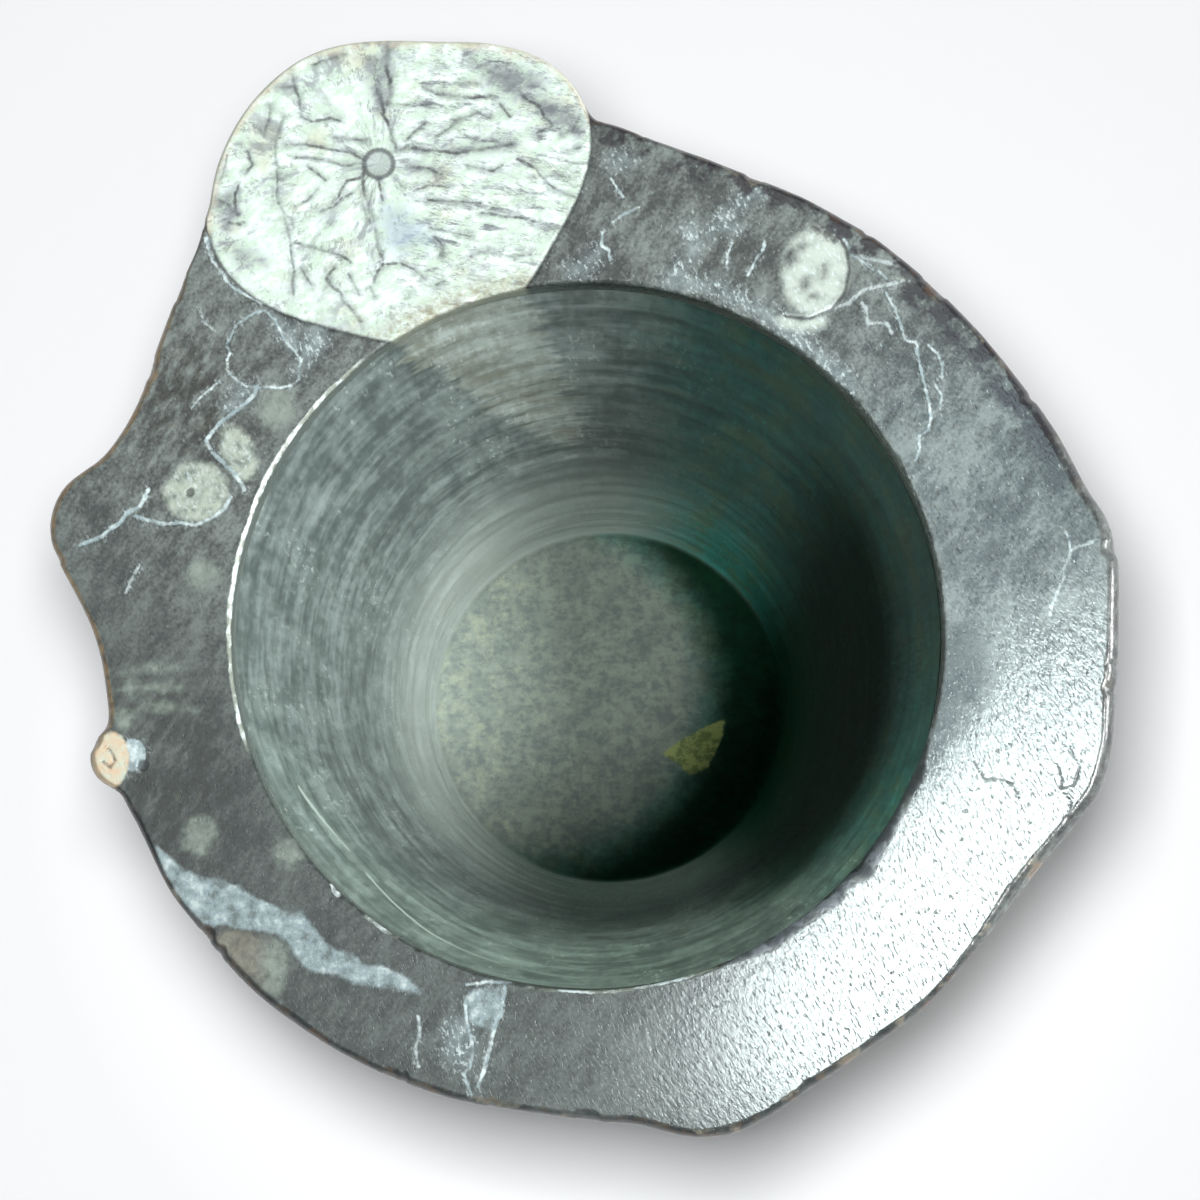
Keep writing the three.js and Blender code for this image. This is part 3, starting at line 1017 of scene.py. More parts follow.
class Socket:
    """One output of a shader node, which Python's own operators work on."""

    def __init__(self, shader: Shader, output: bpy.types.NodeSocket) -> None:
        """Keeps the shader that the node belongs to, and the output."""
        self.shader = shader
        self.output = output

    def _math(self, operation: str, *values: Value) -> Socket:
        """Adds a Math node that works on the values."""
        return self.shader.node("ShaderNodeMath", {"operation": operation}, dict(enumerate(values)))

    def __add__(self, other: Value) -> Socket:
        """Adds a value."""
        return self._math("ADD", self, other)

    def __radd__(self, other: Value) -> Socket:
        """Adds to a value."""
        return self._math("ADD", other, self)

    def __sub__(self, other: Value) -> Socket:
        """Takes a value away."""
        return self._math("SUBTRACT", self, other)

    def __rsub__(self, other: Value) -> Socket:
        """Takes this away from a value."""
        return self._math("SUBTRACT", other, self)

    def __mul__(self, other: Value) -> Socket:
        """Multiplies by a value."""
        return self._math("MULTIPLY", self, other)

    def __rmul__(self, other: Value) -> Socket:
        """Multiplies a value by this."""
        return self._math("MULTIPLY", other, self)

    def __truediv__(self, other: Value) -> Socket:
        """Divides by a value."""
        return self._math("DIVIDE", self, other)

    def __rtruediv__(self, other: Value) -> Socket:
        """Divides a value by this."""
        return self._math("DIVIDE", other, self)

    def __abs__(self) -> Socket:
        """The size without the sign."""
        return self._math("ABSOLUTE", self)

    def highest(self, other: Value) -> Socket:
        """The higher of this and a value."""
        return self._math("MAXIMUM", self, other)

    def rounded_down(self) -> Socket:
        """The whole number at or below this."""
        return self._math("FLOOR", self)

    def to_nearest_whole(self) -> Socket:
        """How far this is from the nearest whole number, 0 to 0.5."""
        return self._math("PINGPONG", self, 0.5)


Value = Socket | float


class Shader:
    """Builds one material's nodes from Python expressions."""

    # Places of a Mix node's sockets, whose names it uses more than once.
    SHARE, FIRST, SECOND, MIXED = 0, 6, 7, 2

    def __init__(self, name: str) -> None:
        """Makes an empty material, and the place in millimetres that its noises are laid at.

        Args:
            name: The material's name.
        """
        self.material = bpy.data.materials.new(name)
        self.material.use_nodes = True
        self.tree = self.material.node_tree
        self.tree.nodes.clear()
        self._end = self.tree.nodes.new("ShaderNodeOutputMaterial")
        self.place = self.vector("MULTIPLY", self.node("ShaderNodeTexCoord", output="Object"), (1 / MM,) * 3)

    def node(
        self,
        kind: str,
        settings: Mapping[str, Any] | None = None,
        sockets: Mapping[str | int, Any] | None = None,
        output: str | int = 0,
    ) -> Socket:
        """Adds a node.

        Args:
            kind: The node's type.
            settings: What is set before its sockets, such as an operation.
            sockets: Values or links for its input sockets, by name or place.
            output: Which output to return, by name or place.

        Returns:
            The chosen output.
        """
        node = self.tree.nodes.new(kind)
        for name, value in (settings or {}).items():
            setattr(node, name, value)
        for name, value in (sockets or {}).items():
            if isinstance(value, Socket):
                self.tree.links.new(value.output, node.inputs[name])
            else:
                node.inputs[name].default_value = value
        return Socket(self, node.outputs[output])

    def vector(self, operation: str, *values: Any) -> Socket:
        """Adds a Vector Math node."""
        return self.node("ShaderNodeVectorMath", {"operation": operation}, dict(enumerate(values)))

    def measure(self, operation: str, *values: Any) -> Socket:
        """Adds a Vector Math node that gives a number."""
        settings = {"operation": operation}
        return self.node("ShaderNodeVectorMath", settings, dict(enumerate(values)), output="Value")

    def toward(self, x: float, y: float, place: Socket | None = None) -> Socket:
        """How far a place lies along a direction in plan."""
        return self.measure("DOT_PRODUCT", place or self.place, (x, y, 0))

    def reach(self, away: Socket) -> Socket:
        """How far a place lies from the origin in plan."""
        return self.measure("LENGTH", self.vector("MULTIPLY", away, (1, 1, 0)))

    def part(self, place: Socket, letter: str) -> Socket:
        """One of a place's three numbers: X, Y or Z."""
        return self.node("ShaderNodeSeparateXYZ", None, {0: place}, output=letter)

    def mark(self, name: str) -> Socket:
        """Reads a figure that the skin carries."""
        return self.node("ShaderNodeAttribute", {"attribute_name": name}, output="Fac")

    def noise(
        self,
        size: float | Triple,
        detail: float = 3.0,
        rough: float = 0.6,
        turn: float = 0.0,
        shift: float = 0.0,
        where: Socket | None = None,
    ) -> Socket:
        """Adds noise of a real size.

        Args:
            size: Width of its lumps in millimetres, the same all ways or along X, Y and Z.
            detail: How many finer layers it has.
            rough: How strong the finer layers are.
            turn: Degrees that the lumps are turned about Z.
            shift: A shift that makes one noise differ from another.
            where: Positions to use in place of the stone's own.

        Returns:
            The noise, about 0.2 to 0.8.
        """
        sizes = (size,) * 3 if isinstance(size, (int, float)) else size
        laid = self.node(
            "ShaderNodeMapping",
            {"vector_type": "TEXTURE"},
            {
                "Vector": where or self.place,
                "Location": (shift, shift, shift),
                "Rotation": (0, 0, math.radians(turn)),
                "Scale": sizes,
            },
        )
        return self.node(
            "ShaderNodeTexNoise",
            {"noise_dimensions": "3D"},
            {"Vector": laid, "Scale": 1.0, "Detail": detail, "Roughness": rough},
        )

    def step(self, value: Socket, low: float, high: float) -> Socket:
        """Rises smoothly from 0 at low to 1 at high.

        Args:
            value: The number to grade.
            low: Where the rise starts. It may lie above high, for a fall.
            high: Where the rise ends.

        Returns:
            A number from 0 to 1.
        """
        if low > high:
            return 1 - self.step(value, high, low)
        return self.node(
            "ShaderNodeMapRange",
            {"interpolation_type": "SMOOTHSTEP"},
            {"Value": value, "From Min": low, "From Max": high},
        )

    def mix(self, share: Value, first: Socket | Colour, second: Socket | Colour) -> Socket:
        """Mixes two colours, the second by its share."""
        sockets = {self.SHARE: share, self.FIRST: first, self.SECOND: second}
        return self.node("ShaderNodeMix", {"data_type": "RGBA"}, sockets, output=self.MIXED)

    def finish(self, colour: Socket, roughness: Socket, height: Socket, bump: float, **fixed: float) -> None:
        """Wires the surface shader.

        Args:
            colour: Base colour.
            roughness: Roughness.
            height: Fine relief in millimetres.
            bump: How strongly the fine relief shows.
            **fixed: Other sockets that hold one value all over, with spaces written as underscores.
        """
        normal = self.node("ShaderNodeBump", None, {"Strength": bump, "Distance": MM, "Height": height})
        sockets: dict[str | int, Any] = {"Base Color": colour, "Roughness": roughness, "Normal": normal}
        sockets.update({name.replace("_", " "): value for name, value in fixed.items()})
        self.show(self.node("ShaderNodeBsdfPrincipled", None, sockets))

    def show(self, surface: Socket) -> None:
        """Makes this the material's surface."""
        self.tree.links.new(surface.output, self._end.inputs["Surface"])


# ---- finishes


@dataclass(frozen=True)
class LimeMud:
    """The dark fine stone that holds the fossils."""

    dark: Colour = tint(59, 62, 60)
    light: Colour = tint(121, 127, 123)
    brown: Colour = tint(47, 45, 41)
    mist: Colour = tint(134, 144, 138)
    buff: Colour = tint(132, 126, 110)
    speck: Colour = tint(184, 196, 194)

    def colour(self, shader: Shader, browned: Socket) -> Socket:
        """Mottles the stone.

        Args:
            shader: The material being built.
            browned: Where the stone is stained brown, 0 to 1.

        Returns:
            The colour.
        """
        clouds = shader.noise(13)
        mottle = shader.noise((3.6, 1.7, 2.4), 4, 0.66, turn=58, shift=7)
        dust = shader.noise(0.55, shift=23)
        tone = clouds * 0.35 + mottle * 0.4 + dust * 0.25
        ground = shader.mix(shader.step(tone, 0.4, 0.62), self.dark, self.light)
        ground = shader.mix(browned * shader.step(mottle, 0.7, 0.36) * 0.9, ground, self.brown)
        blots = shader.noise((2.3, 1.2, 1.8), turn=58, shift=29)
        blot = shader.mix(browned, self.mist, self.buff)
        ground = shader.mix(shader.step(blots, 0.56, 0.74) * (0.22 + 0.16 * browned), ground, blot)
        flecks = shader.noise((1.0, 0.36, 0.5), 2, 0.5, turn=-64, shift=6)
        right = shader.step(shader.toward(1, 0.4), -10, 50)
        return shader.mix(shader.step(flecks, 0.64, 0.76) * (0.25 + 0.35 * right), ground, self.speck)


@dataclass(frozen=True)
class Calcite:
    """The white mineral of veins and clouds."""

    white: Colour = tint(222, 232, 232)
    blue: Colour = tint(158, 174, 178)
    grey: Colour = tint(112, 122, 122)

    def colour(self, shader: Shader) -> Socket:
        """Clouded white, from blue-grey to near white."""
        cloud = shader.noise(2.4, 5, 0.7, shift=3)
        body = shader.mix(shader.step(cloud, 0.36, 0.52), self.grey, self.blue)
        return shader.mix(shader.step(cloud, 0.5, 0.7), body, self.white)


@dataclass(frozen=True)
class ShellCalcite:
    """The great fossil's pale filling, cracked and streaked, as its sawn end shows it."""

    mint: Colour = tint(198, 212, 196)
    white: Colour = tint(232, 240, 236)
    cream: Colour = tint(206, 202, 176)
    smoke: Colour = tint(104, 106, 110)
    blue: Colour = tint(148, 164, 178)
    crack: Colour = tint(70, 68, 70)
    crumbs: Colour = tint(150, 140, 112)
    tube: Plan = (0.0, 0.0)

    def colour(self, shader: Shader) -> tuple[Socket, Socket]:
        """Paints the sawn end.

        Args:
            shader: The material being built.

        Returns:
            The colour, and where the cracks lie, 0 to 1.
        """
        away = shader.vector("SUBTRACT", shader.place, (*self.tube, 0))
        way = shader.vector("NORMALIZE", shader.vector("MULTIPLY", away, (1, 1, 0)))
        depth = shader.node("ShaderNodeCombineXYZ", None, {"Z": shader.reach(away) / 7})
        rays = shader.vector("MULTIPLY_ADD", way, (4.4, 4.4, 4.4), depth)
        ray_noise = shader.noise(1, 5, 0.66, where=rays)
        grain_right = shader.noise((5, 1.5, 5), 5, 0.72, turn=-9)
        right = shader.step(shader.part(away, "X"), -1, 8)
        streak = ray_noise * (1 - right) + grain_right * right
        cloud = shader.noise(7, 5, 0.62, shift=11)
        wisps = shader.noise((3.4, 1.8, 3), 5, 0.72, turn=25, shift=5)
        body = shader.mix(shader.step(wisps, 0.4, 0.62), self.mint, self.white)
        body = shader.mix(shader.step(cloud, 0.52, 0.72) * 0.6, body, self.cream)
        patchy = shader.step(shader.noise(9, shift=47), 0.36, 0.62)
        smoke = shader.step(streak * 0.7 + wisps * 0.3, 0.5, 0.6)
        body = shader.mix(smoke * (0.25 + 0.45 * patchy + 0.2 * right), body, self.smoke)
        threads = shader.noise((2.6, 0.9, 3), 5, 0.75, turn=-16, shift=53)
        darts = shader.step(threads, 0.53, 0.63) * right * shader.step(cloud, 0.4, 0.54)
        body = shader.mix(darts * 0.6, body, self.smoke)
        stained = shader.step(shader.mark("smoke") + (wisps - 0.5) * 9, -1.8, 1.8)
        body = shader.mix(stained * 0.8, body, self.smoke)
        bluish = shader.step(shader.mark("blue") + (wisps - 0.5) * 8, -1.2, 2.4)
        body = shader.mix(bluish * 0.6, body, self.blue)
        crack = shader.mark("crack")
        fray = (shader.noise(1.5, 4, 0.7, shift=19) - 0.5) * 3.2
        body = shader.mix(shader.step(crack + fray, -1.0, 0.5) * 0.5, body, self.smoke)
        hairline = 1 - shader.step(abs(streak - 0.5), 0.004, 0.03)
        broken = shader.step(shader.noise(3.2, shift=17), 0.46, 0.62)
        wander = (shader.noise(0.8, shift=2) - 0.5) * 0.9
        drawn = shader.step(crack + wander, -0.16, 0.24)
        faded = 0.3 + 0.7 * shader.step(shader.noise(4, shift=27), 0.4, 0.6)
        cracked = (hairline * broken * 0.5).highest(drawn * faded * 0.9)
        return shader.mix(cracked, body, self.crack), cracked


class Coats(Shader):
    """A shader whose colour is laid on coat by coat, with noises ready to fray the coats' edges."""

    def __init__(self, name: str) -> None:
        """Lays two ragged shifts in millimetres and two kinds of speckle, 0 to 1.

        Args:
            name: The material's name.
        """
        super().__init__(name)
        self.fine = (self.noise(0.7, shift=1) - 0.5) * 1.1
        self.loose = (self.noise(1.8, 4, 0.65, shift=9) - 0.5) * 3.6
        self.sparks = self.step(self.noise((0.9, 0.5, 0.6), 3, 0.7, turn=-64, shift=61), 0.53, 0.66)
        self.bright = self.step(self.noise(2.6, shift=37), 0.45, 0.6)
        self.body: Socket | Colour = tint(0, 0, 0)

    def over(self, share: Value, colour: Socket | Colour) -> None:
        """Lays a colour over the body, as strongly as its share."""
        self.body = self.mix(share, self.body, colour)


@dataclass(frozen=True)
class PolishedStone:
    """The sawn and polished rim, with every fossil and vein that it cuts."""

    mud: LimeMud = LimeMud()
    calcite: Calcite = Calcite()
    shell: ShellCalcite = ShellCalcite()
    holds_fossil: bool = False
    cream: Colour = tint(192, 198, 182)
    grey: Colour = tint(142, 152, 141)
    tan: Colour = tint(140, 132, 116)
    amber: Colour = tint(186, 152, 112)
    # The colour of the painted shade at the rim's lower left.
    below: Colour = tint(52, 57, 56)
    peach: Colour = tint(208, 180, 150)
    rust: Colour = tint(116, 84, 58)
    seam: Colour = tint(46, 46, 48)
    edge_dark: Colour = tint(44, 44, 48)
    edge_band: Colour = tint(36, 30, 36)
    rubbed: Colour = tint(172, 176, 182)
    # The drilled stone under the lip, in painted light and painted shade.
    bored_painted_lit: Colour = tint(104, 114, 110)
    bored_painted_shade: Colour = tint(34, 48, 46)
    bored_fossil: Colour = tint(128, 134, 120)

    def _ground(self, coats: Coats) -> None:
        """Lays the dark stone, browned in places, with painted shade darkest at the lower left.

        Args:
            coats: The coats being laid.
        """
        browned = coats.step(coats.mark("brown") + coats.loose * 2, -4, 5)
        coats.body = self.mud.colour(coats, browned)
        # Painted shade: the stone is darkened towards the lower left.
        below = coats.step(coats.toward(-0.45, -0.9) + coats.loose * 2, 12, 46)
        coats.over(below * 0.58, self.below)

    def _clouds(self, coats: Coats) -> None:
        """Lays the blurred fossils, the clouds and bands of calcite, and the sparks near them.

        Args:
            coats: The coats being laid.
        """
        fine, loose = coats.fine, coats.loose
        calcite = self.calcite.colour(coats)
        grey = coats.step(coats.mark("grey_fossil") + loose * 0.6, -1.2, 1.2)
        coats.over(grey * (0.45 + 0.5 * coats.step(loose, -0.4, 1)), self.grey)
        cloud = coats.step(coats.mark("cloud") + loose * 0.6, -1.6, 1.5)
        coats.over(cloud * 0.32, calcite)
        near = coats.step(coats.mark("vein").highest(coats.mark("faint")) + loose * 0.3, -1.2, 0.8)
        near = near.highest(coats.step(coats.mark("cloud") + loose * 0.3, -2.4, 0.4))
        coats.over(near * coats.sparks * 0.55, self.calcite.white)
        band = coats.step(coats.mark("band") + loose * 0.3 + fine * 0.5, -0.3, 0.5)
        coats.over(band * (0.5 + 0.25 * coats.step(loose, -1, 1)), calcite)

    def _fossils(self, coats: Coats) -> None:
        """Lays the small fossils that the rim cuts across, apart from the one at its edge.

        Args:
            coats: The coats being laid.
        """
        fine, loose, sparks = coats.fine, coats.loose, coats.sparks
        tan = coats.step(coats.mark("tan") + loose * 0.35, -0.6, 1)
        greyer = coats.step(coats.toward(1, 0) + loose, -46, -42)
        fragment = coats.mix(greyer, self.tan, self.grey)
        coats.over(tan * (0.15 + 0.6 * coats.step(loose, -1, 0.8)), fragment)
        cream = coats.step(coats.mark("cream") + loose * 0.5, -0.8, 0.6)
        ring = 1 - coats.step(abs(coats.mark("cream") + loose * 0.5 - 1.0), 0.1, 0.6)
        pale = coats.mix(coats.step(loose + fine, -1.0, 0.9), self.grey, self.cream)
        pale = coats.mix(ring * coats.step(loose, 0.3, -0.8) * 0.5, pale, self.seam)
        coats.over(cream * 0.8, coats.mix(sparks * 0.6, pale, self.calcite.white))
        coil = coats.step(coats.mark("coil") + loose * 0.4 + fine * 0.4, -1.3, 0.8)
        pale = coats.mix(coats.step(loose + fine, -1.4, 0.3), self.grey, self.cream)
        coats.over(coil * 0.85, coats.mix(0.25 + sparks * 0.6, pale, self.calcite.white))

    def _veins(self, coats: Coats) -> None:
        """Lays the white veins, and the small fossil at the rim's edge.

        Args:
            coats: The coats being laid.
        """
        fine, loose = coats.fine, coats.loose
        faint = coats.step(coats.mark("faint") + fine * 0.6 + loose * 0.12, -0.2, 0.2)
        coats.over(faint * 0.5, self.calcite.white)
        vein = coats.step(coats.mark("vein") + fine * 0.5 + loose * 0.06, -0.12, 0.16)
        strong = 0.45 + 0.5 * coats.step(loose, -0.9, 0.9)
        coats.over(vein * strong, coats.mix(coats.bright, self.calcite.blue, self.calcite.white))
        edge_shell = coats.step(coats.mark("edge_shell") + fine * 0.5, -0.2, 0.3)
        coats.over(edge_shell, coats.mix(coats.step(loose, -0.6, 0.8), self.peach, self.cream))

    def _great_fossil(self, coats: Coats) -> tuple[Socket, Socket]:
        """Lays the great fossil's sawn end over the stone.

        Args:
            coats: The coats being laid.

        Returns:
            Where the fossil is, and where it is cracked, 0 to 1.
        """
        fine, loose = coats.fine, coats.loose
        depth = coats.mark("shell") + fine * 0.35
        in_shell = coats.step(depth, -0.12, 0.12)
        shell, cracked = self.shell.colour(coats)
        rim_of_tube = 1 - coats.step(abs(coats.mark("tube")) + fine * 0.3, 0.12, 0.6)
        shell = coats.mix(rim_of_tube * 0.8, shell, self.seam)
        shell = coats.mix(coats.step(coats.mark("tube"), -0.1, 0.2) * 0.45, shell, self.shell.smoke)
        frayed = coats.step(depth + loose * 0.5, 2.2, 0.4)
        shell = coats.mix(frayed * coats.step(loose, -0.2, 1) * 0.45, shell, self.tan)
        crumbled = coats.step(coats.mark("lip") + loose * 0.9, 3.6, 1.0)
        crumbled = crumbled * coats.step(fine + loose * 0.3, -0.35, 0.35)
        coats.over(in_shell, coats.mix(crumbled * 0.75, shell, self.shell.crumbs))
        join = 1 - coats.step(abs(depth), 0.05, 0.4)
        coats.over(join * 0.6, self.seam)
        return in_shell, cracked

    def _outer_edge(self, coats: Coats, in_shell: Value) -> Socket:
        """Lays the bevel's colours and the dark band beside it at the top right.

        Args:
            coats: The coats being laid.
            in_shell: Where the great fossil is, 0 to 1.

        Returns:
            Where the bevel is, 0 to 1.
        """
        fine, loose = coats.fine, coats.loose
        bevel = coats.mark("bevel")
        right = coats.step(coats.toward(1, -0.1) + loose * 2, 54, 64)
        patchy = coats.step(coats.noise(5, 4, shift=21), 0.56, 0.66)
        patchy = patchy * (1 - 0.8 * right * coats.step(coats.toward(0, 1), -46, -30))
        skin = coats.mix(patchy, self.edge_dark, self.tan)
        reddish = coats.step(coats.noise(2.2, 3, 0.65, shift=71), 0.5, 0.62)
        skin = coats.mix(reddish * (0.45 - 0.35 * right), skin, self.rust)
        earthy = coats.step(coats.toward(-1, 0.1) + loose, 60, 66)
        skin = coats.mix(earthy * 0.75, skin, self.amber)
        skin = coats.mix(patchy * coats.step(bevel + fine, -0.9, -2.2), skin, self.rust)
        if self.holds_fossil:
            brim = coats.step(bevel + fine * 0.6, 1.5, 0.1) * in_shell * coats.step(loose, -0.8, 0.6)
            coats.over(brim * 0.5, self.peach)
            shell_skin = coats.mix(coats.step(loose, -0.9, 0.5), self.amber, self.cream)
            skin = coats.mix(in_shell, skin, shell_skin)
        north = coats.step(coats.toward(0.55, 0.83) + loose, 44, 54)
        dark_band = coats.step(coats.noise(4, shift=73), 0.45, 0.55) * north * (1 - in_shell)
        coats.over(coats.step(bevel + loose * 0.8, 3.8, 2.2) * dark_band * 0.85, self.edge_band)
        on_bevel = coats.step(bevel + fine * 0.4, 0.3, -0.3)
        coats.over(on_bevel * (0.2 + 0.6 * coats.step(loose, -0.8, 0.8)), skin)
        return on_bevel

    def _lip(self, coats: Coats) -> Socket:
        """Lays the bore's lip: drilled stone below it, painted lit at the left and shaded at the right,
        rubbed places and white bruises on it.

        Args:
            coats: The coats being laid.

        Returns:
            Where the lip is rubbed, 0 to 1.
        """
        fine, loose, bright = coats.fine, coats.loose, coats.bright
        lip = coats.mark("lip")
        # Painted light and shade: the drilled stone under the lip is lit at the left and in dark teal shade
        # at the right.
        left = coats.step(coats.toward(-1, -0.25) + loose * 3, -20, 10)
        bored = coats.mix(left, self.bored_painted_shade, self.bored_painted_lit)
        bored = coats.mix(coats.step(coats.mark("fossil"), -0.4, 0.6), bored, self.bored_fossil)
        coats.over(coats.step(lip + fine * 0.5, -0.7, -1.8) * 0.85, bored)
        rubbed = coats.step(lip + fine + loose * 0.4, 0.5, -0.3) * coats.mark("worn")
        rubbed = rubbed * coats.step(lip + loose * 0.5, -3.0, -1.8)
        coats.over(rubbed * 0.8, coats.mix(0.35 + 0.65 * bright, self.seam, self.rubbed))
        bruised = coats.step(coats.mark("flaked") + fine * 0.5 + loose * 0.1, 0.3, 0.75)
        speckled = coats.step(coats.toward(0.8, 0.6), 34, 44) * coats.sparks * 0.8
        on_lip = coats.step(lip + fine * 0.4, 0.15, -0.15)
        on_lip = on_lip * coats.step(lip + fine * 0.8 + loose * 0.3, -1.4, -0.7)
        whitened = on_lip * bruised.highest(speckled) * (0.4 + 0.55 * bright)
        coats.over(whitened, coats.mix(bright, self.cream, self.calcite.white))
        return rubbed

    def _relief(self, coats: Coats, seam: Socket) -> Socket:
        """The polish's fine relief: gaps in the grain, ripples at the right, lumps on the worn lip.

        Args:
            coats: The coats being laid.
            seam: Where the dark seams lie, 0 to 1.

        Returns:
            Millimetres.
        """
        lip = coats.mark("lip")
        gaps = coats.step(coats.noise((1.05, 0.32, 0.5), turn=-64, shift=6), 0.57, 0.69)
        crumpled = coats.step(coats.toward(1, -0.1), 53, 65) * coats.step(coats.toward(0.2, 1), 17, 5)
        ripples = coats.noise((2.2, 0.9, 1), 3, 0.7, turn=-54, shift=43) * crumpled
        height = gaps * -0.027 + coats.noise((1.3, 0.7, 1), 3, 0.7, turn=-50, shift=41) * 0.028
        height = height * (1 - 0.7 * coats.step(coats.mark("dull"), -3, 2)) - seam * 0.05 + ripples * 0.05
        lumps = coats.step(coats.fine, -0.1, 0.5) * coats.mark("worn") * coats.step(lip, 0.4, -0.2)
        return height - lumps * coats.step(lip, -3.0, -1.8) * 0.12

    def build(self) -> bpy.types.Material:
        """Builds the material.

        Returns:
            The material.
        """
        coats = Coats("polished_fossil" if self.holds_fossil else "polished_limestone")
        for lay in (self._ground, self._clouds, self._fossils, self._veins):
            lay(coats)
        in_shell, cracked = self._great_fossil(coats) if self.holds_fossil else (0.0, 0.0)
        seam = coats.step(coats.mark("dark") + coats.fine * 0.4, -0.2, 0.15)
        coats.over(seam * 0.75, self.seam)
        on_bevel = self._outer_edge(coats, in_shell)
        rubbed = self._lip(coats)
        dull = coats.step(coats.mark("dull") + coats.loose, -3, 2)
        coats.over(dull * 0.55, self.mud.dark)
        rough = 0.105 + 0.06 * coats.noise(3, shift=14) + 0.08 * on_bevel + 0.2 * cracked * in_shell
        rough = rough - dull * 0.07 + seam * 0.5 + rubbed * 0.4
        coats.finish(coats.body, rough, self._relief(coats, seam), 1.0, IOR=1.6)
        return coats.material


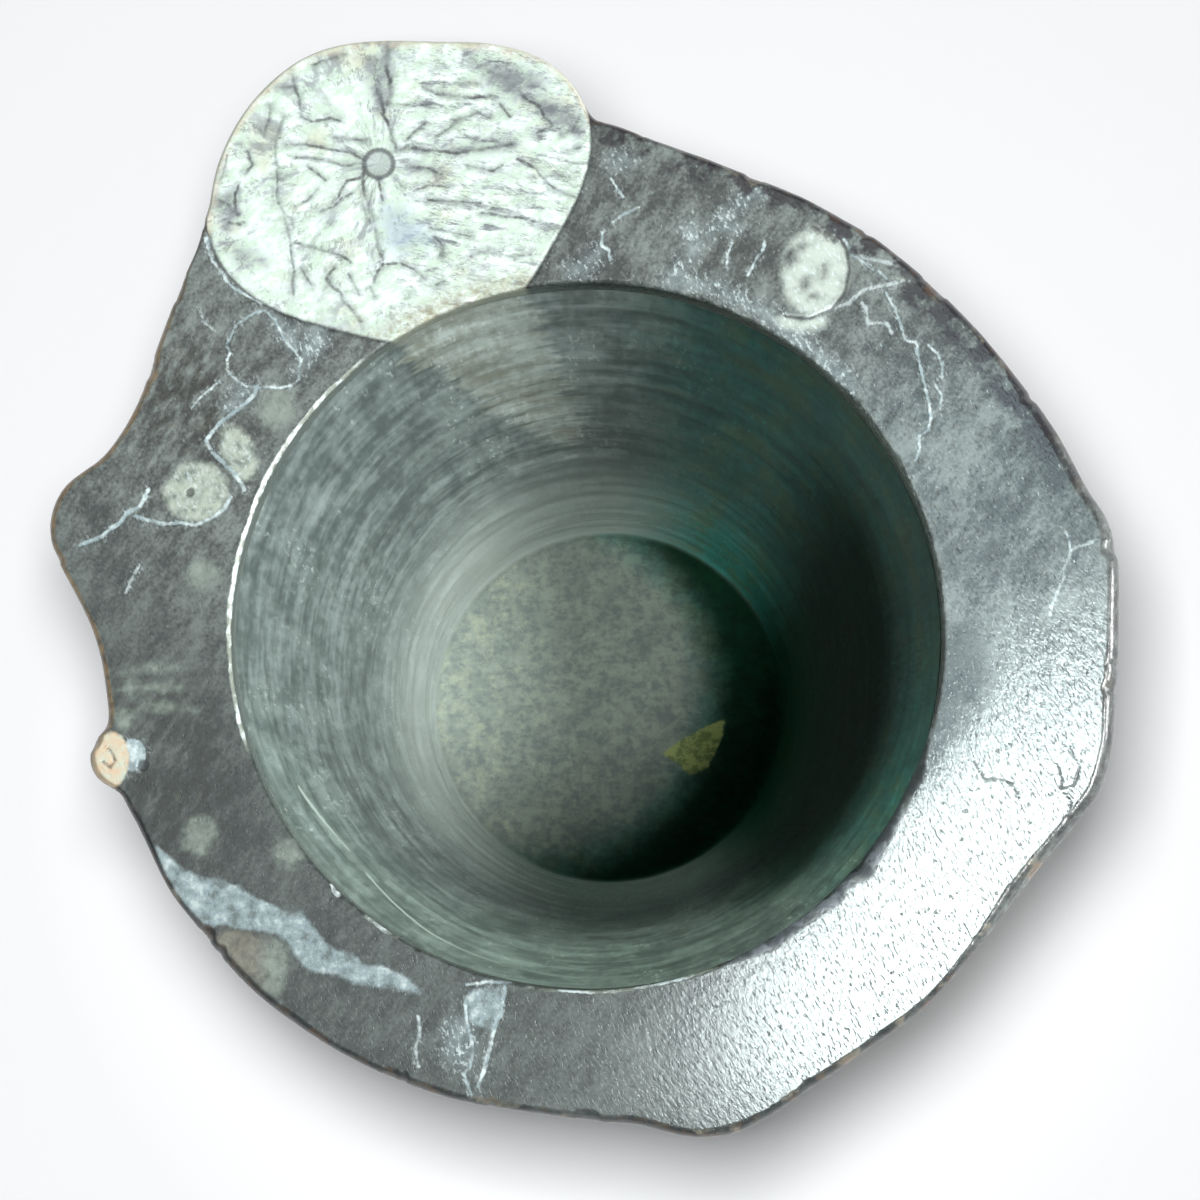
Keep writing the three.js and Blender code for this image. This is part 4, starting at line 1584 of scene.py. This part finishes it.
@dataclass(frozen=True)
class TurnedStone:
    """The drilled bore, dusty and ringed by the core drill, with painted shade and shadow on its right and
    painted light towards its floor.
    """

    dark: Colour = tint(72, 82, 80)
    light: Colour = tint(118, 130, 127)
    pale: Colour = tint(172, 184, 178)
    fossil: Colour = tint(130, 134, 120)
    lime: Colour = tint(150, 156, 126)
    floor: Colour = tint(105, 115, 105)
    flake: Colour = tint(124, 134, 80)
    flake_dark: Colour = tint(86, 98, 58)
    # Painted shade: tints that the shaded right of the bore is multiplied by, and a near black one for its
    # painted shadow.
    painted_shade: Colour = (0.2, 0.84, 0.78, 1.0)
    olive: Colour = (0.32, 0.6, 0.42, 1.0)
    painted_shadow: Triple = (0.0, 0.14, 0.08)
    # The middle of the floor's lit part; the painted shadow lies round it.
    lit_floor_middle: Plan = (-20.0, 4.5)

    def _painted_shade(
        self, shader: Shader, away: Socket, low: Socket, loose: Socket, height: Socket, floor: float
    ) -> tuple[Socket, Socket]:
        """Paints shade down the wall's right side, and the wall's shadow on the floor's lower right.

        Args:
            shader: The material being built.
            away: Place from the bore's axis.
            low: Where the floor is, 0 to 1.
            loose: A ragged shift in millimetres.
            height: Height above the base, in millimetres.
            floor: The floor's height above the base, in millimetres.

        Returns:
            Where shade is painted, and where the darker, near black shadow is painted, 0 to 1.
        """
        right = shader.toward(0.96, 0.28, away) + loose
        across = shader.reach(shader.vector("SUBTRACT", away, (*self.lit_floor_middle, 0))) + loose
        painted_shade = shader.step(right, 14, 38) * (1 - low) + shader.step(across, 37, 48) * low * 0.6
        deep = shader.step(height + loose * 2, floor + 160, floor + 125) * (1 - low)
        painted_shadow = shader.step(shader.toward(0.98, -0.2, away) + loose, 22, 42) * deep
        return painted_shade, painted_shadow + shader.step(across, 41, 53) * low

    def build(self, axis: np.ndarray, floor: float) -> bpy.types.Material:
        """Builds the material.

        Args:
            axis: The bore's axis in the frame, in millimetres.
            floor: The floor's height above the base, in millimetres.

        Returns:
            The material.
        """
        shader = Shader("turned_limestone")
        away = shader.vector("SUBTRACT", shader.place, (*axis[:2], 0))
        height = shader.part(away, "Z")
        rings = shader.noise((34, 34, 2.4), where=away)
        blotch = shader.noise((6, 6, 22), 3, 0.62, shift=3, where=away)
        mottle = shader.noise((1.4, 1.4, 4.5), 3, 0.66, shift=7)
        strokes = shader.noise((20, 20, 6), 3, 0.7, shift=63, where=away)
        scores = shader.noise((8, 8, 4.5), 3, 0.72, shift=75, where=away)
        tone = rings * 0.1 + blotch * 0.22 + strokes * 0.28 + scores * 0.22 + mottle * 0.18
        body = shader.mix(shader.step(tone, 0.41, 0.61), self.dark, self.light)
        dusty = shader.step(blotch * 0.5 + shader.noise((16, 16, 40), 3, 0.5, shift=51) * 0.5, 0.46, 0.6)
        flecks = shader.step(shader.noise((0.9, 0.9, 3), 3, 0.7, shift=8), 0.56, 0.7)
        body = shader.mix(flecks * dusty * 0.6, body, self.pale)
        # Painted light: the wall is painted paler towards the floor, most on its far and near sides, where
        # light falls. This is painted light, not wear.
        beside = shader.step(abs(shader.toward(0, 1, away)), 10, 45)
        worn = shader.step(height, floor + 90, floor + 8)
        body = shader.mix(worn * (0.45 + 0.45 * beside), body, self.pale)
        fine = (shader.noise(1.2, shift=1) - 0.5) * 1.6
        ragged = (shader.noise((5, 5, 16), 3, 0.65, shift=5) - 0.5) * 12
        torn = (shader.noise((10, 10, 2.6), 3, 0.65, shift=67, where=away) - 0.5) * 9
        fossil = shader.step(shader.mark("fossil") + torn, -0.6, 1.0)
        cut_fossil = shader.mix(shader.step(tone, 0.42, 0.6), self.fossil, self.pale)
        body = shader.mix(fossil * 0.46, body, cut_fossil)
        scratch = shader.step(shader.mark("scratch") + fine * 0.4, -0.2, 0.3)
        body = shader.mix(scratch * 0.6, body, self.pale)
        low = shader.step(height, floor + 2.5, floor + 0.3)
        dirt = shader.noise((2.6, 2.2, 1.3), 4, 0.7, shift=15)
        bed = shader.mix(shader.step(dirt, 0.38, 0.64) * 0.75, self.floor, self.dark)
        left = shader.toward(-1, 0, away)
        sandy = shader.step(shader.noise(2.4, 3, 0.66, shift=12) + shader.step(left, 8, 34) * 0.14, 0.6, 0.8)
        bed = shader.mix(sandy * 0.28, bed, self.lime)
        ground = shader.mix(shader.step(shader.noise(7, 3, 0.65, shift=19), 0.42, 0.62) * 0.4, bed, self.dark)
        ground = shader.mix(shader.step(left, 8, 40) * 0.25, ground, self.dark)
        body = shader.mix(low, body, ground)
        # Painted shade and shadow: the wall's right side is tinted dark teal, and its deep right and the
        # floor's lower right are made near black.
        painted_shade, painted_shadow = self._painted_shade(shader, away, low, ragged * 0.4, height, floor)
        tinge = shader.mix(shader.step(blotch * 0.5 + strokes * 0.5, 0.46, 0.6), self.painted_shade, self.olive)
        body = shader.mix(painted_shade, body, shader.vector("MULTIPLY", body, tinge))
        body = shader.mix(painted_shadow, body, shader.vector("MULTIPLY", body, self.painted_shadow))
        flake = shader.step(shader.mark("flake") + fine * 0.9, -0.2, 0.5)
        body = shader.mix(flake, body, shader.mix(shader.step(dirt, 0.4, 0.6), self.flake, self.flake_dark))
        rough = 0.3 + 0.14 * rings + 0.4 * shader.step(height, floor + 7, floor + 3)
        rough = rough - 0.08 * worn + 0.4 * painted_shadow
        relief = (rings * 0.08 + blotch * 0.3) * (1 - low) + mottle * 0.12
        shader.finish(body, rough, relief, 0.7, IOR=1.3)
        return shader.material


@dataclass(frozen=True)
class CarvedStone:
    """The outer wall: chiselled stone and half-polished fossils."""

    mud: LimeMud = LimeMud()
    calcite: Calcite = Calcite()
    peach: Colour = tint(196, 172, 142)
    cream: Colour = tint(198, 194, 176)
    chamber: Colour = tint(150, 140, 124)
    wall: Colour = tint(224, 220, 206)
    earth: Colour = tint(112, 92, 74)
    dust: Colour = tint(142, 136, 124)

    def build(self) -> bpy.types.Material:
        """Builds the material.

        Returns:
            The material.
        """
        shader = Shader("carved_limestone")
        stains = shader.noise((12, 12, 22), 5, 0.62, shift=2)
        pits = shader.noise(1.3, 4, 0.7, shift=5)
        strokes = shader.noise((1.6, 1.6, 5), 3, 0.65, shift=8)
        browned = shader.step(stains, 0.42, 0.62)
        body = self.mud.colour(shader, browned)
        body = shader.mix(browned * shader.step(pits, 0.4, 0.62) * 0.6, body, self.earth)
        body = shader.mix(shader.step(strokes, 0.5, 0.72) * 0.45, body, self.dust)
        fine = (shader.noise(1.1, shift=1) - 0.5) * 1.2
        veins = 1 - shader.step(abs(shader.noise((70, 70, 130), 2, 0.45, shift=31) - 0.5), 0.0008, 0.004)
        broken = shader.step(shader.noise(40, shift=33), 0.48, 0.58)
        body = shader.mix(veins * broken * 0.7, body, self.calcite.colour(shader))
        depth = shader.mark("fossil") + fine
        moat = shader.step(depth, -2.6, -0.4)
        body = shader.mix(moat * 0.45, body, self.earth)
        inside = shader.step(depth, -0.3, 0.4)
        cloud = shader.noise((5, 5, 9), 4, 0.62, shift=12)
        chamber = shader.mark("chamber")
        number = shader.node("ShaderNodeCombineXYZ", None, {"X": chamber.rounded_down() * 0.37})
        each = shader.noise(1, 0, 0.55, where=number, shift=0.5)
        shell = shader.mix(shader.step(cloud * 0.5 + each * 0.5, 0.38, 0.58), self.peach, self.cream)
        shell = shader.mix(shader.step(each, 0.52, 0.66) * 0.55, shell, self.chamber)
        shell = shader.mix(shader.step(pits, 0.5, 0.7) * 0.28, shell, self.chamber)
        between = chamber.to_nearest_whole() + fine * 0.03
        shell = shader.mix(shader.step(between, 0.13, 0.05) * 0.6, shell, self.earth)
        shell = shader.mix(shader.step(between, 0.05, 0.02) * 0.85, shell, self.wall)
        body = shader.mix(inside, body, shell)
        rough = 0.62 - 0.24 * inside + 0.12 * strokes
        height = (1 - inside) * (strokes * 0.25 + pits * 0.18) + inside * pits * 0.05
        shader.finish(body, rough, height, 0.8, IOR=1.5)
        return shader.material


# ---- sub-assemblies


@dataclass
class RimSpan:
    """A stretch of the rim, from just inside the bore's lip to the top of the outer wall."""

    body: StoneBody
    tools: ToolMarks
    name: str
    start: float
    end: float
    columns: int
    flat_rows: int
    edge_rows: int = 7
    roundness: float = 1.4
    strip: float = 0.6
    lip_drop: float = 1.1
    inner_reach: float = 60.0

    def turns(self) -> np.ndarray:
        """Directions of this stretch's columns, in radians."""
        return np.radians(np.linspace(self.start, self.end, self.columns + 1))

    def _lay(self) -> tuple[Skin, np.ndarray, np.ndarray]:
        """Lays the rows out.

        Returns:
            The skin, and each point's distance from the lip and from the bevel across the flat.
        """
        skin = Skin(self.name, self.body, closed=False)
        turns, top = self.turns(), self.body.height
        lip, bevel = self.tools.lip_width(turns), self.tools.bevel_width(turns)
        mouth, wall = self.body.bore(top), self.body.outer(turns, top)
        lip_gap: list[np.ndarray] = []
        bevel_gap: list[np.ndarray] = []

        def add(radii: np.ndarray | float, heights: np.ndarray | float) -> None:
            """Adds a row, with its distances from the lip and the bevel.

            Args:
                radii: Distances from the axis.
                heights: Heights above the base.
            """
            skin.add(turns, radii, heights)
            drop = top - skin.rows[-1][:, 2]
            across = np.linalg.norm(skin.rows[-1][:, :2], axis=1)
            lip_gap.append(across - mouth - lip - drop)
            bevel_gap.append(wall - bevel - across - drop)

        skirt = self.tools.skirt
        for depth in (skirt, skirt - self.strip):
            add(self.body.bore(top - depth), top - depth)
        eased = [math.radians(90 * k / self.edge_rows) for k in range(self.edge_rows + 1)]
        for turn in eased:
            out, up = 1 - math.cos(turn) ** self.roundness, 1 - math.sin(turn) ** self.roundness
            add(mouth + lip * out, top - self.lip_drop * lip * up)
        for share in np.linspace(0, 1, self.flat_rows + 2)[1:-1]:
            add(mouth + lip + (wall - bevel - mouth - lip) * share, top)
        for turn in eased:
            out, down = math.sin(turn) ** self.roundness, 1 - math.cos(turn) ** self.roundness
            add(wall - bevel * (1 - out), top - bevel * down)
        for depth in (skirt - self.strip, skirt):
            add(self.body.outer(turns, top - depth), top - depth)
        return skin, np.concatenate(lip_gap), np.concatenate(bevel_gap)

    def _wear(self, points: np.ndarray, marks: Mapping[str, np.ndarray]) -> np.ndarray:
        """Sinks the cracks and worn places into the stone.

        Args:
            points: The rows' points.
            marks: The figures that the finish uses.

        Returns:
            The points after wear.
        """
        points = points.copy()
        top = self.body.height
        flat = points[:, 2] > top - 1e-6
        turns = np.degrees(np.arctan2(points[:, 1], points[:, 0]))
        from_ends = np.minimum(np.mod(turns - self.start, 360), np.mod(self.end - turns, 360))
        held = ease(from_ends, 0, 1.2) * ease(np.minimum(marks["lip"], marks["bevel"]), 0, 0.8)
        sunk = 0.08 * ease(marks["crack"], -0.2, 0.2) + 0.1 * ease(marks["dark"], -0.1, 0.15)
        sunk += 0.04 * ease(marks["vein"], -0.2, 0.2) * (1 - ease(marks["shell"], -0.4, 0.4))
        sunk += 0.08 * (1 - ease(np.abs(marks["shell"]), 0.1, 0.6))
        points[flat, 2] -= (sunk * held)[flat]
        across = np.linalg.norm(points[:, :2], axis=1)
        inner = (marks["lip"] < 0) & ~flat & (across < self.inner_reach)
        outer = ~inner & ~flat
        move = np.zeros(len(points))
        move[inner] = self.tools.bore(points[inner])
        move[outer] = -self.tools.wall(points[outer], marks["fossil"][outer], marks["chamber"][outer])
        points[:, :2] *= (1 + move / across)[:, None]
        return points

    def build(self) -> bpy.types.Object:
        """Builds this stretch of the rim, with its marks.

        Returns:
            The skin's object.
        """
        skin, lip, bevel = self._lay()
        points = skin.points()
        plan = points[:, :2]
        turns = np.arctan2(plan[:, 1], plan[:, 0])
        shell = self.body.great.inside(points, self.body.height)
        small, chamber = self.body.small_inside(points)
        tube = self.body.great.tube_radius - np.linalg.norm(plan - self.body.great.tube, axis=1)
        marks = {
            "shell": shell,
            "tube": tube,
            **{name: deepest(drawn, plan) for name, drawn in RIM_MARKS.items()},
            "lip": lip,
            "bevel": bevel,
            "flaked": self.tools.flaked(turns),
            "worn": self.tools.worn(turns),
            "fossil": np.maximum(shell, small),
            "chamber": chamber,
        }
        return skin.finish(self._wear(points, marks), marks)


@dataclass
class TurnedBore:
    """The blind bore, from the middle of its floor up to just under the lip."""

    body: StoneBody
    tools: ToolMarks
    top_turns: np.ndarray
    columns: int = 450
    wall_rows: int = 164
    fillet: float = 2.5
    fillet_rows: int = 5
    floor_rows: int = 44
    halve_within: tuple[float, ...] = (24.0, 12.0, 5.0)
    degree_width: float = 0.84
    scratch_width: float = 1.5
    dip_span: Span = (41.5, 36.0)

    def _lay(self) -> Skin:
        """Lays the rows out.

        Returns:
            The skin.
        """
        skin = Skin("turned_bore", self.body, closed=True)
        start = self.top_turns[0]
        floor, top = self.body.floor, self.body.height - self.tools.skirt
        corner = self.body.bore(floor + self.fillet) - self.fillet
        for k in range(self.floor_rows):
            radius = corner * k / self.floor_rows
            halvings = sum(radius <= limit for limit in self.halve_within)
            skin.add(spread(start, self.columns >> halvings if k else 1), radius, floor)
        turns = spread(start, self.columns)
        for k in range(self.fillet_rows):
            turn = math.pi / 2 * k / self.fillet_rows
            radius = corner + self.fillet * math.sin(turn)
            skin.add(turns, radius, floor + self.fillet * (1 - math.cos(turn)))
        for height in np.linspace(floor + self.fillet, top, self.wall_rows + 1)[:-1]:
            skin.add(turns, self.body.bore(height), height)
        skin.add(self.top_turns, self.body.bore(top), top)
        return skin

    def build(self) -> bpy.types.Object:
        """Builds the bore, with its marks.

        Returns:
            The skin's object.
        """
        skin = self._lay()
        points = skin.points()
        across = np.linalg.norm(points[:, :2], axis=1)
        on_wall = points[:, 2] > self.body.floor + 0.5 * self.fillet
        turns = np.mod(np.degrees(np.arctan2(points[:, 1], points[:, 0])), 360)
        unrolled = np.stack([turns * self.degree_width, self.body.height - points[:, 2]], 1)
        scratches = [
            line(self.scratch_width, *((turn * self.degree_width, depth) for turn, depth in track))
            for track in BORE_SCRATCHES
        ]
        flake = np.where(on_wall, FAR_OUTSIDE, deepest(FLOOR_FLAKE, points[:, :2]))
        marks = {
            "fossil": np.maximum(
                self.body.great.inside(points, self.body.height), self.body.small_inside(points)[0]
            ),
            "scratch": np.where(on_wall, deepest(scratches, unrolled), FAR_OUTSIDE),
            "flake": flake,
        }
        worn = points.copy()
        move = self.tools.bore(points) * ease(points[:, 2], self.body.floor + 1, self.body.floor + 8)
        worn[:, :2] *= (1 + np.where(on_wall, move / np.maximum(across, 1), 0))[:, None]
        dips = 0.25 + 0.2 * grain(points, (9, 9, 9), 4, 7.7) + 0.1 * grain(points, (1.8, 1.8, 1.8), 3, 1.2)
        dips -= 0.25 * ease(flake, -0.4, 0.3)
        worn[:, 2] -= np.where(on_wall, 0, np.clip(dips, 0, 1) * ease(across, *self.dip_span))
        return skin.finish(worn, marks)


@dataclass
class CarvedWall:
    """The outer wall and the sawn base."""

    body: StoneBody
    tools: ToolMarks
    top_turns: np.ndarray
    columns: int = 480
    wall_rows: int = 184
    foot_bevel: float = 1.4
    foot_shares: tuple[float, ...] = (0.35, 0.7, 1.0)
    base_rows: int = 12
    halve_every: int = 3

    def _lay(self) -> Skin:
        """Lays the rows out.

        Returns:
            The skin.
        """
        skin = Skin("carved_wall", self.body, closed=True)
        start = self.top_turns[0]
        turns = spread(start, self.columns)
        top = self.body.height - self.tools.skirt
        skin.add(self.top_turns, self.body.outer(self.top_turns, top), top)
        for height in np.linspace(top, self.foot_bevel, self.wall_rows + 1)[1:]:
            skin.add(turns, self.body.outer(turns, height), height)
        foot = self.body.outer(turns, self.foot_bevel)
        for share in self.foot_shares:
            rounded = math.radians(90 * share)
            inset = self.foot_bevel * (1 - math.cos(rounded))
            skin.add(turns, foot - inset, self.foot_bevel * (1 - math.sin(rounded)))
        for k in range(1, self.base_rows):
            fewer = spread(start, self.columns >> k // self.halve_every)
            edge = self.body.outer(fewer, self.foot_bevel) - self.foot_bevel
            skin.add(fewer, edge * (1 - k / self.base_rows), 0)
        skin.add(spread(start, 1), 0, 0)
        return skin

    def build(self) -> bpy.types.Object:
        """Builds the wall, with its marks.

        Returns:
            The skin's object.
        """
        skin = self._lay()
        points = skin.points()
        across = np.linalg.norm(points[:, :2], axis=1)
        shell = self.body.great.inside(points, self.body.height)
        small, chamber = self.body.small_inside(points)
        in_great = shell > small
        chamber[in_great] = self.body.great.chamber(points[in_great], self.body.height)
        fossil = np.maximum(shell, small)
        move = self.tools.wall(points, fossil, chamber) * (points[:, 2] > 0.01)
        worn = points.copy()
        worn[:, :2] *= (1 - move / np.maximum(across, 1))[:, None]
        return skin.finish(worn, {"fossil": fossil, "chamber": chamber})


# ---- studio


class Lit(Enum):
    """What a lamp lights."""

    OUTSIDE = "outside"
    BORE = "bore"
    FLOOR = "floor"


@dataclass(frozen=True)
class Lamp:
    """A soft rectangular lamp, placed from the middle of the bore's mouth."""

    name: str
    place: Triple
    size: Plan
    power: float
    lit: Lit
    turn: float = 0.0
    colour: Triple = (1.0, 1.0, 1.0)
    aim: Triple = (0.0, 0.0, 0.0)

    def build(self, middle: Vector, groups: Mapping[Lit, bpy.types.Collection]) -> bpy.types.Object:
        """Hangs the lamp.

        Args:
            middle: Middle of the bore's mouth, in metres.
            groups: What each kind of lamp lights.

        Returns:
            The lamp.
        """
        data = bpy.data.lights.new(self.name, "AREA")
        data.shape, data.energy, data.color = "RECTANGLE", self.power, self.colour
        data.size, data.size_y = self.size[0] * MM, self.size[1] * MM
        lamp = bpy.data.objects.new(self.name, data)
        back = (Vector(self.place) - Vector(self.aim)).normalized()
        level = Vector((math.cos(math.radians(self.turn)), math.sin(math.radians(self.turn)), 0.0))
        side = (level - back * level.dot(back)).normalized()
        facing = Matrix((side, back.cross(side), back)).transposed()
        lamp.matrix_world = Matrix.Translation(middle + Vector(self.place) * MM) @ facing.to_4x4()
        bpy.context.scene.collection.objects.link(lamp)
        lamp.light_linking.receiver_collection = groups[self.lit]
        return lamp


@dataclass(frozen=True)
class Studio:
    """A pale floor, soft lamps and a camera that looks down over the pot."""

    floor_shade: Colour = tint(238, 239, 241)
    backdrop_shade: Colour = tint(238, 239, 241)
    air: Colour = tint(228, 236, 238)
    air_strength: float = 0.12
    eye: Triple = (7.383, -24.612, 205.128)
    look: Triple = (-0.0256, 0.1368, -1.0)
    lens: float = 44.22
    sensor: float = 36.0
    clip: Span = (0.01, 50.0)
    lamps: tuple[Lamp, ...] = (
        Lamp("key", (325, -110, 1200), (560, 200), 9.7, Lit.OUTSIDE, turn=44, colour=(0.88, 1.0, 1.0)),
        Lamp("glow", (330, 190, 1200), (350, 400), 0.8, Lit.OUTSIDE, colour=(0.62, 0.94, 1.1)),
        Lamp("fill", (1000, -250, 700), (260, 500), 17, Lit.OUTSIDE),
        Lamp("edge_light", (1150, 60, 190), (200, 300), 5, Lit.OUTSIDE),
        Lamp("veil", (-300, 300, 2400), (2200, 2200), 14, Lit.OUTSIDE, colour=(0.94, 1.0, 1.0)),
        Lamp("window", (600, -75, 1200), (300, 440), 68, Lit.BORE),
        Lamp("window_edge", (240, -70, 1200), (110, 240), 4.5, Lit.BORE),
        Lamp("lower_window", (120, -240, 1200), (160, 220), 13, Lit.BORE),
        Lamp("north_sky", (0, 1500, 1000), (700, 700), 38, Lit.BORE, colour=(0.86, 1.0, 0.86)),
        Lamp("floor_wash", (0, 0, 3500), (4000, 4000), 15, Lit.FLOOR),
    )
    over_floor: Lamp = Lamp("over_floor", (2, -13, 206), (30, 30), 2.05, Lit.FLOOR, aim=(2, -13, 0))
    floor_glow: float = 0.69
    even_from: float = 165.0
    room: float = 6000.0
    backdrop_sides: int = 64

    def _stage(
        self, name: str, points: Sequence[Triple], faces: Sequence[tuple[int, ...]]
    ) -> bpy.types.Object:
        """Adds a stage mesh.

        Args:
            name: Its name.
            points: Its corners, in metres.
            faces: Its faces.

        Returns:
            The mesh's object.
        """
        mesh = bpy.data.meshes.new(name)
        mesh.from_pydata(points, [], faces)
        stage = bpy.data.objects.new(name, mesh)
        bpy.context.scene.collection.objects.link(stage)
        return stage

    def _floor(self, middle: Vector) -> bpy.types.Object:
        """Lays pale paper that glows where the lamp close above it falls off.

        Args:
            middle: Middle of the bore's mouth, in metres.

        Returns:
            The floor.
        """
        half = self.room * MM
        corners = [(-half, -half, 0), (half, -half, 0), (half, half, 0), (-half, half, 0)]
        floor = self._stage("studio_floor", corners, [(0, 1, 2, 3)])
        lamp = middle / MM + Vector(self.over_floor.place)
        shader = Shader("studio_paper")
        reach = shader.measure("LENGTH", shader.vector("SUBTRACT", shader.place, (lamp.x, lamp.y, 0)))
        fall = lamp.z**2 / (reach * reach + lamp.z**2)
        near = (lamp.z**2 / (self.even_from**2 + lamp.z**2)) ** 2
        glow = (1 - fall * fall / near).highest(0.0) * self.floor_glow
        surface = {
            "Base Color": self.floor_shade,
            "Roughness": 0.9,
            "Specular IOR Level": 0.0,
            "Emission Color": shader.mix(glow, tint(0, 0, 0), tint(255, 255, 255)),
            "Emission Strength": 1.0,
        }
        shader.show(shader.node("ShaderNodeBsdfPrincipled", None, surface))
        floor.data.materials.append(shader.material)
        return floor

    def _backdrop(self) -> None:
        """Stands pale paper all round, that only the camera sees."""
        sides = self.backdrop_sides
        turns = [2 * math.pi * i / sides for i in range(sides)]
        ring = [(math.cos(turn) * self.room * MM, math.sin(turn) * self.room * MM) for turn in turns]
        points = [(x, y, z) for z in (0.0, self.room * MM) for x, y in ring]
        faces = [(i, (i + 1) % sides, sides + (i + 1) % sides, sides + i) for i in range(sides)]
        backdrop = self._stage("studio_backdrop", points, faces)
        shader = Shader("studio_backdrop")
        shader.show(shader.node("ShaderNodeEmission", None, {"Color": self.backdrop_shade, "Strength": 1.0}))
        backdrop.data.materials.append(shader.material)
        backdrop.visible_diffuse = backdrop.visible_glossy = backdrop.visible_shadow = False

    def _air(self) -> None:
        """Lights the whole room faintly."""
        world = bpy.data.worlds.new("studio_air")
        world.use_nodes = True
        background = world.node_tree.nodes["Background"]
        background.inputs["Color"].default_value = self.air
        background.inputs["Strength"].default_value = self.air_strength
        bpy.context.scene.world = world

    def _camera(self, middle: Vector) -> None:
        """Sets the camera up over the pot.

        Args:
            middle: Middle of the bore's mouth, in metres.
        """
        data = bpy.data.cameras.new("camera")
        data.lens, data.sensor_width = self.lens, self.sensor
        data.clip_start, data.clip_end = self.clip
        camera = bpy.data.objects.new("camera", data)
        ahead = Vector(self.look).normalized()
        right = ahead.cross(Vector((0, 1, 0))).normalized()
        up = right.cross(ahead)
        turn = Matrix((right, up, -ahead)).transposed()
        camera.matrix_world = Matrix.Translation(middle + Vector(self.eye) * MM) @ turn.to_4x4()
        bpy.context.scene.collection.objects.link(camera)
        bpy.context.scene.camera = camera

    def build(self, body: StoneBody, stone: Sequence[bpy.types.Object]) -> None:
        """Sets the studio up.

        Args:
            body: The surveyed block.
            stone: The skins that stand for the stone.
        """
        groups = {kind: bpy.data.collections.new(f"lit_{kind.value}") for kind in Lit}
        for skin in stone:
            groups[Lit.BORE if skin.name == "turned_bore" else Lit.OUTSIDE].objects.link(skin)
        middle = Vector((*body.axis[:2], body.height)) * MM
        groups[Lit.FLOOR].objects.link(self._floor(middle))
        self._backdrop()
        for lamp in (*self.lamps, self.over_floor):
            lamp.build(middle, groups)
        self._air()
        self._camera(middle)
        bpy.context.scene.view_settings.view_transform = "Standard"


# ---- the whole pot


def corners(box: Sequence[Vector]) -> list[list[float]]:
    """A box's two corners as plain lists."""
    return [list(corner) for corner in box]


def main() -> None:
    """Builds every piece in order and reports each one."""
    logging.basicConfig(level=logging.INFO, format="%(name)s: %(message)s")
    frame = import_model()
    openings = frame["record"]["physics"]["openings"]
    mouth = next(opening["box_m"] for opening in openings if opening["name"] == "bore")
    body = StoneBody(frame["nodes"][POT_NODE], mouth)
    log.info("block surveyed: %.1f mm high, bore floor at %.1f mm", body.height, body.floor)
    tools = ToolMarks(body)
    rim = RimSpan(body, tools, "polished_rim", CORNER_END, CORNER_START + 360, columns=930, flat_rows=80)
    corner = RimSpan(body, tools, "fossil_corner", CORNER_START, CORNER_END, columns=300, flat_rows=200)
    top_turns = np.concatenate([rim.turns()[:-1], corner.turns()[:-1] + 2 * math.pi])
    shell = ShellCalcite(tube=tuple(body.axis[:2] + body.great.tube))
    finishes = (
        (rim, PolishedStone().build()),
        (corner, PolishedStone(shell=shell, holds_fossil=True).build()),
        (TurnedBore(body, tools, top_turns), TurnedStone().build(body.axis, body.floor)),
        (CarvedWall(body, tools, top_turns), CarvedStone().build()),
    )
    stone: list[bpy.types.Object] = []
    for part, finish in finishes:
        skin = part.build()
        skin.data.materials.append(finish)
        stone.append(skin)
        log.info("%s: %d points, %d faces", skin.name, len(skin.data.vertices), len(skin.data.polygons))
    Studio().build(body, stone)


if __name__ == "__main__":
    main()
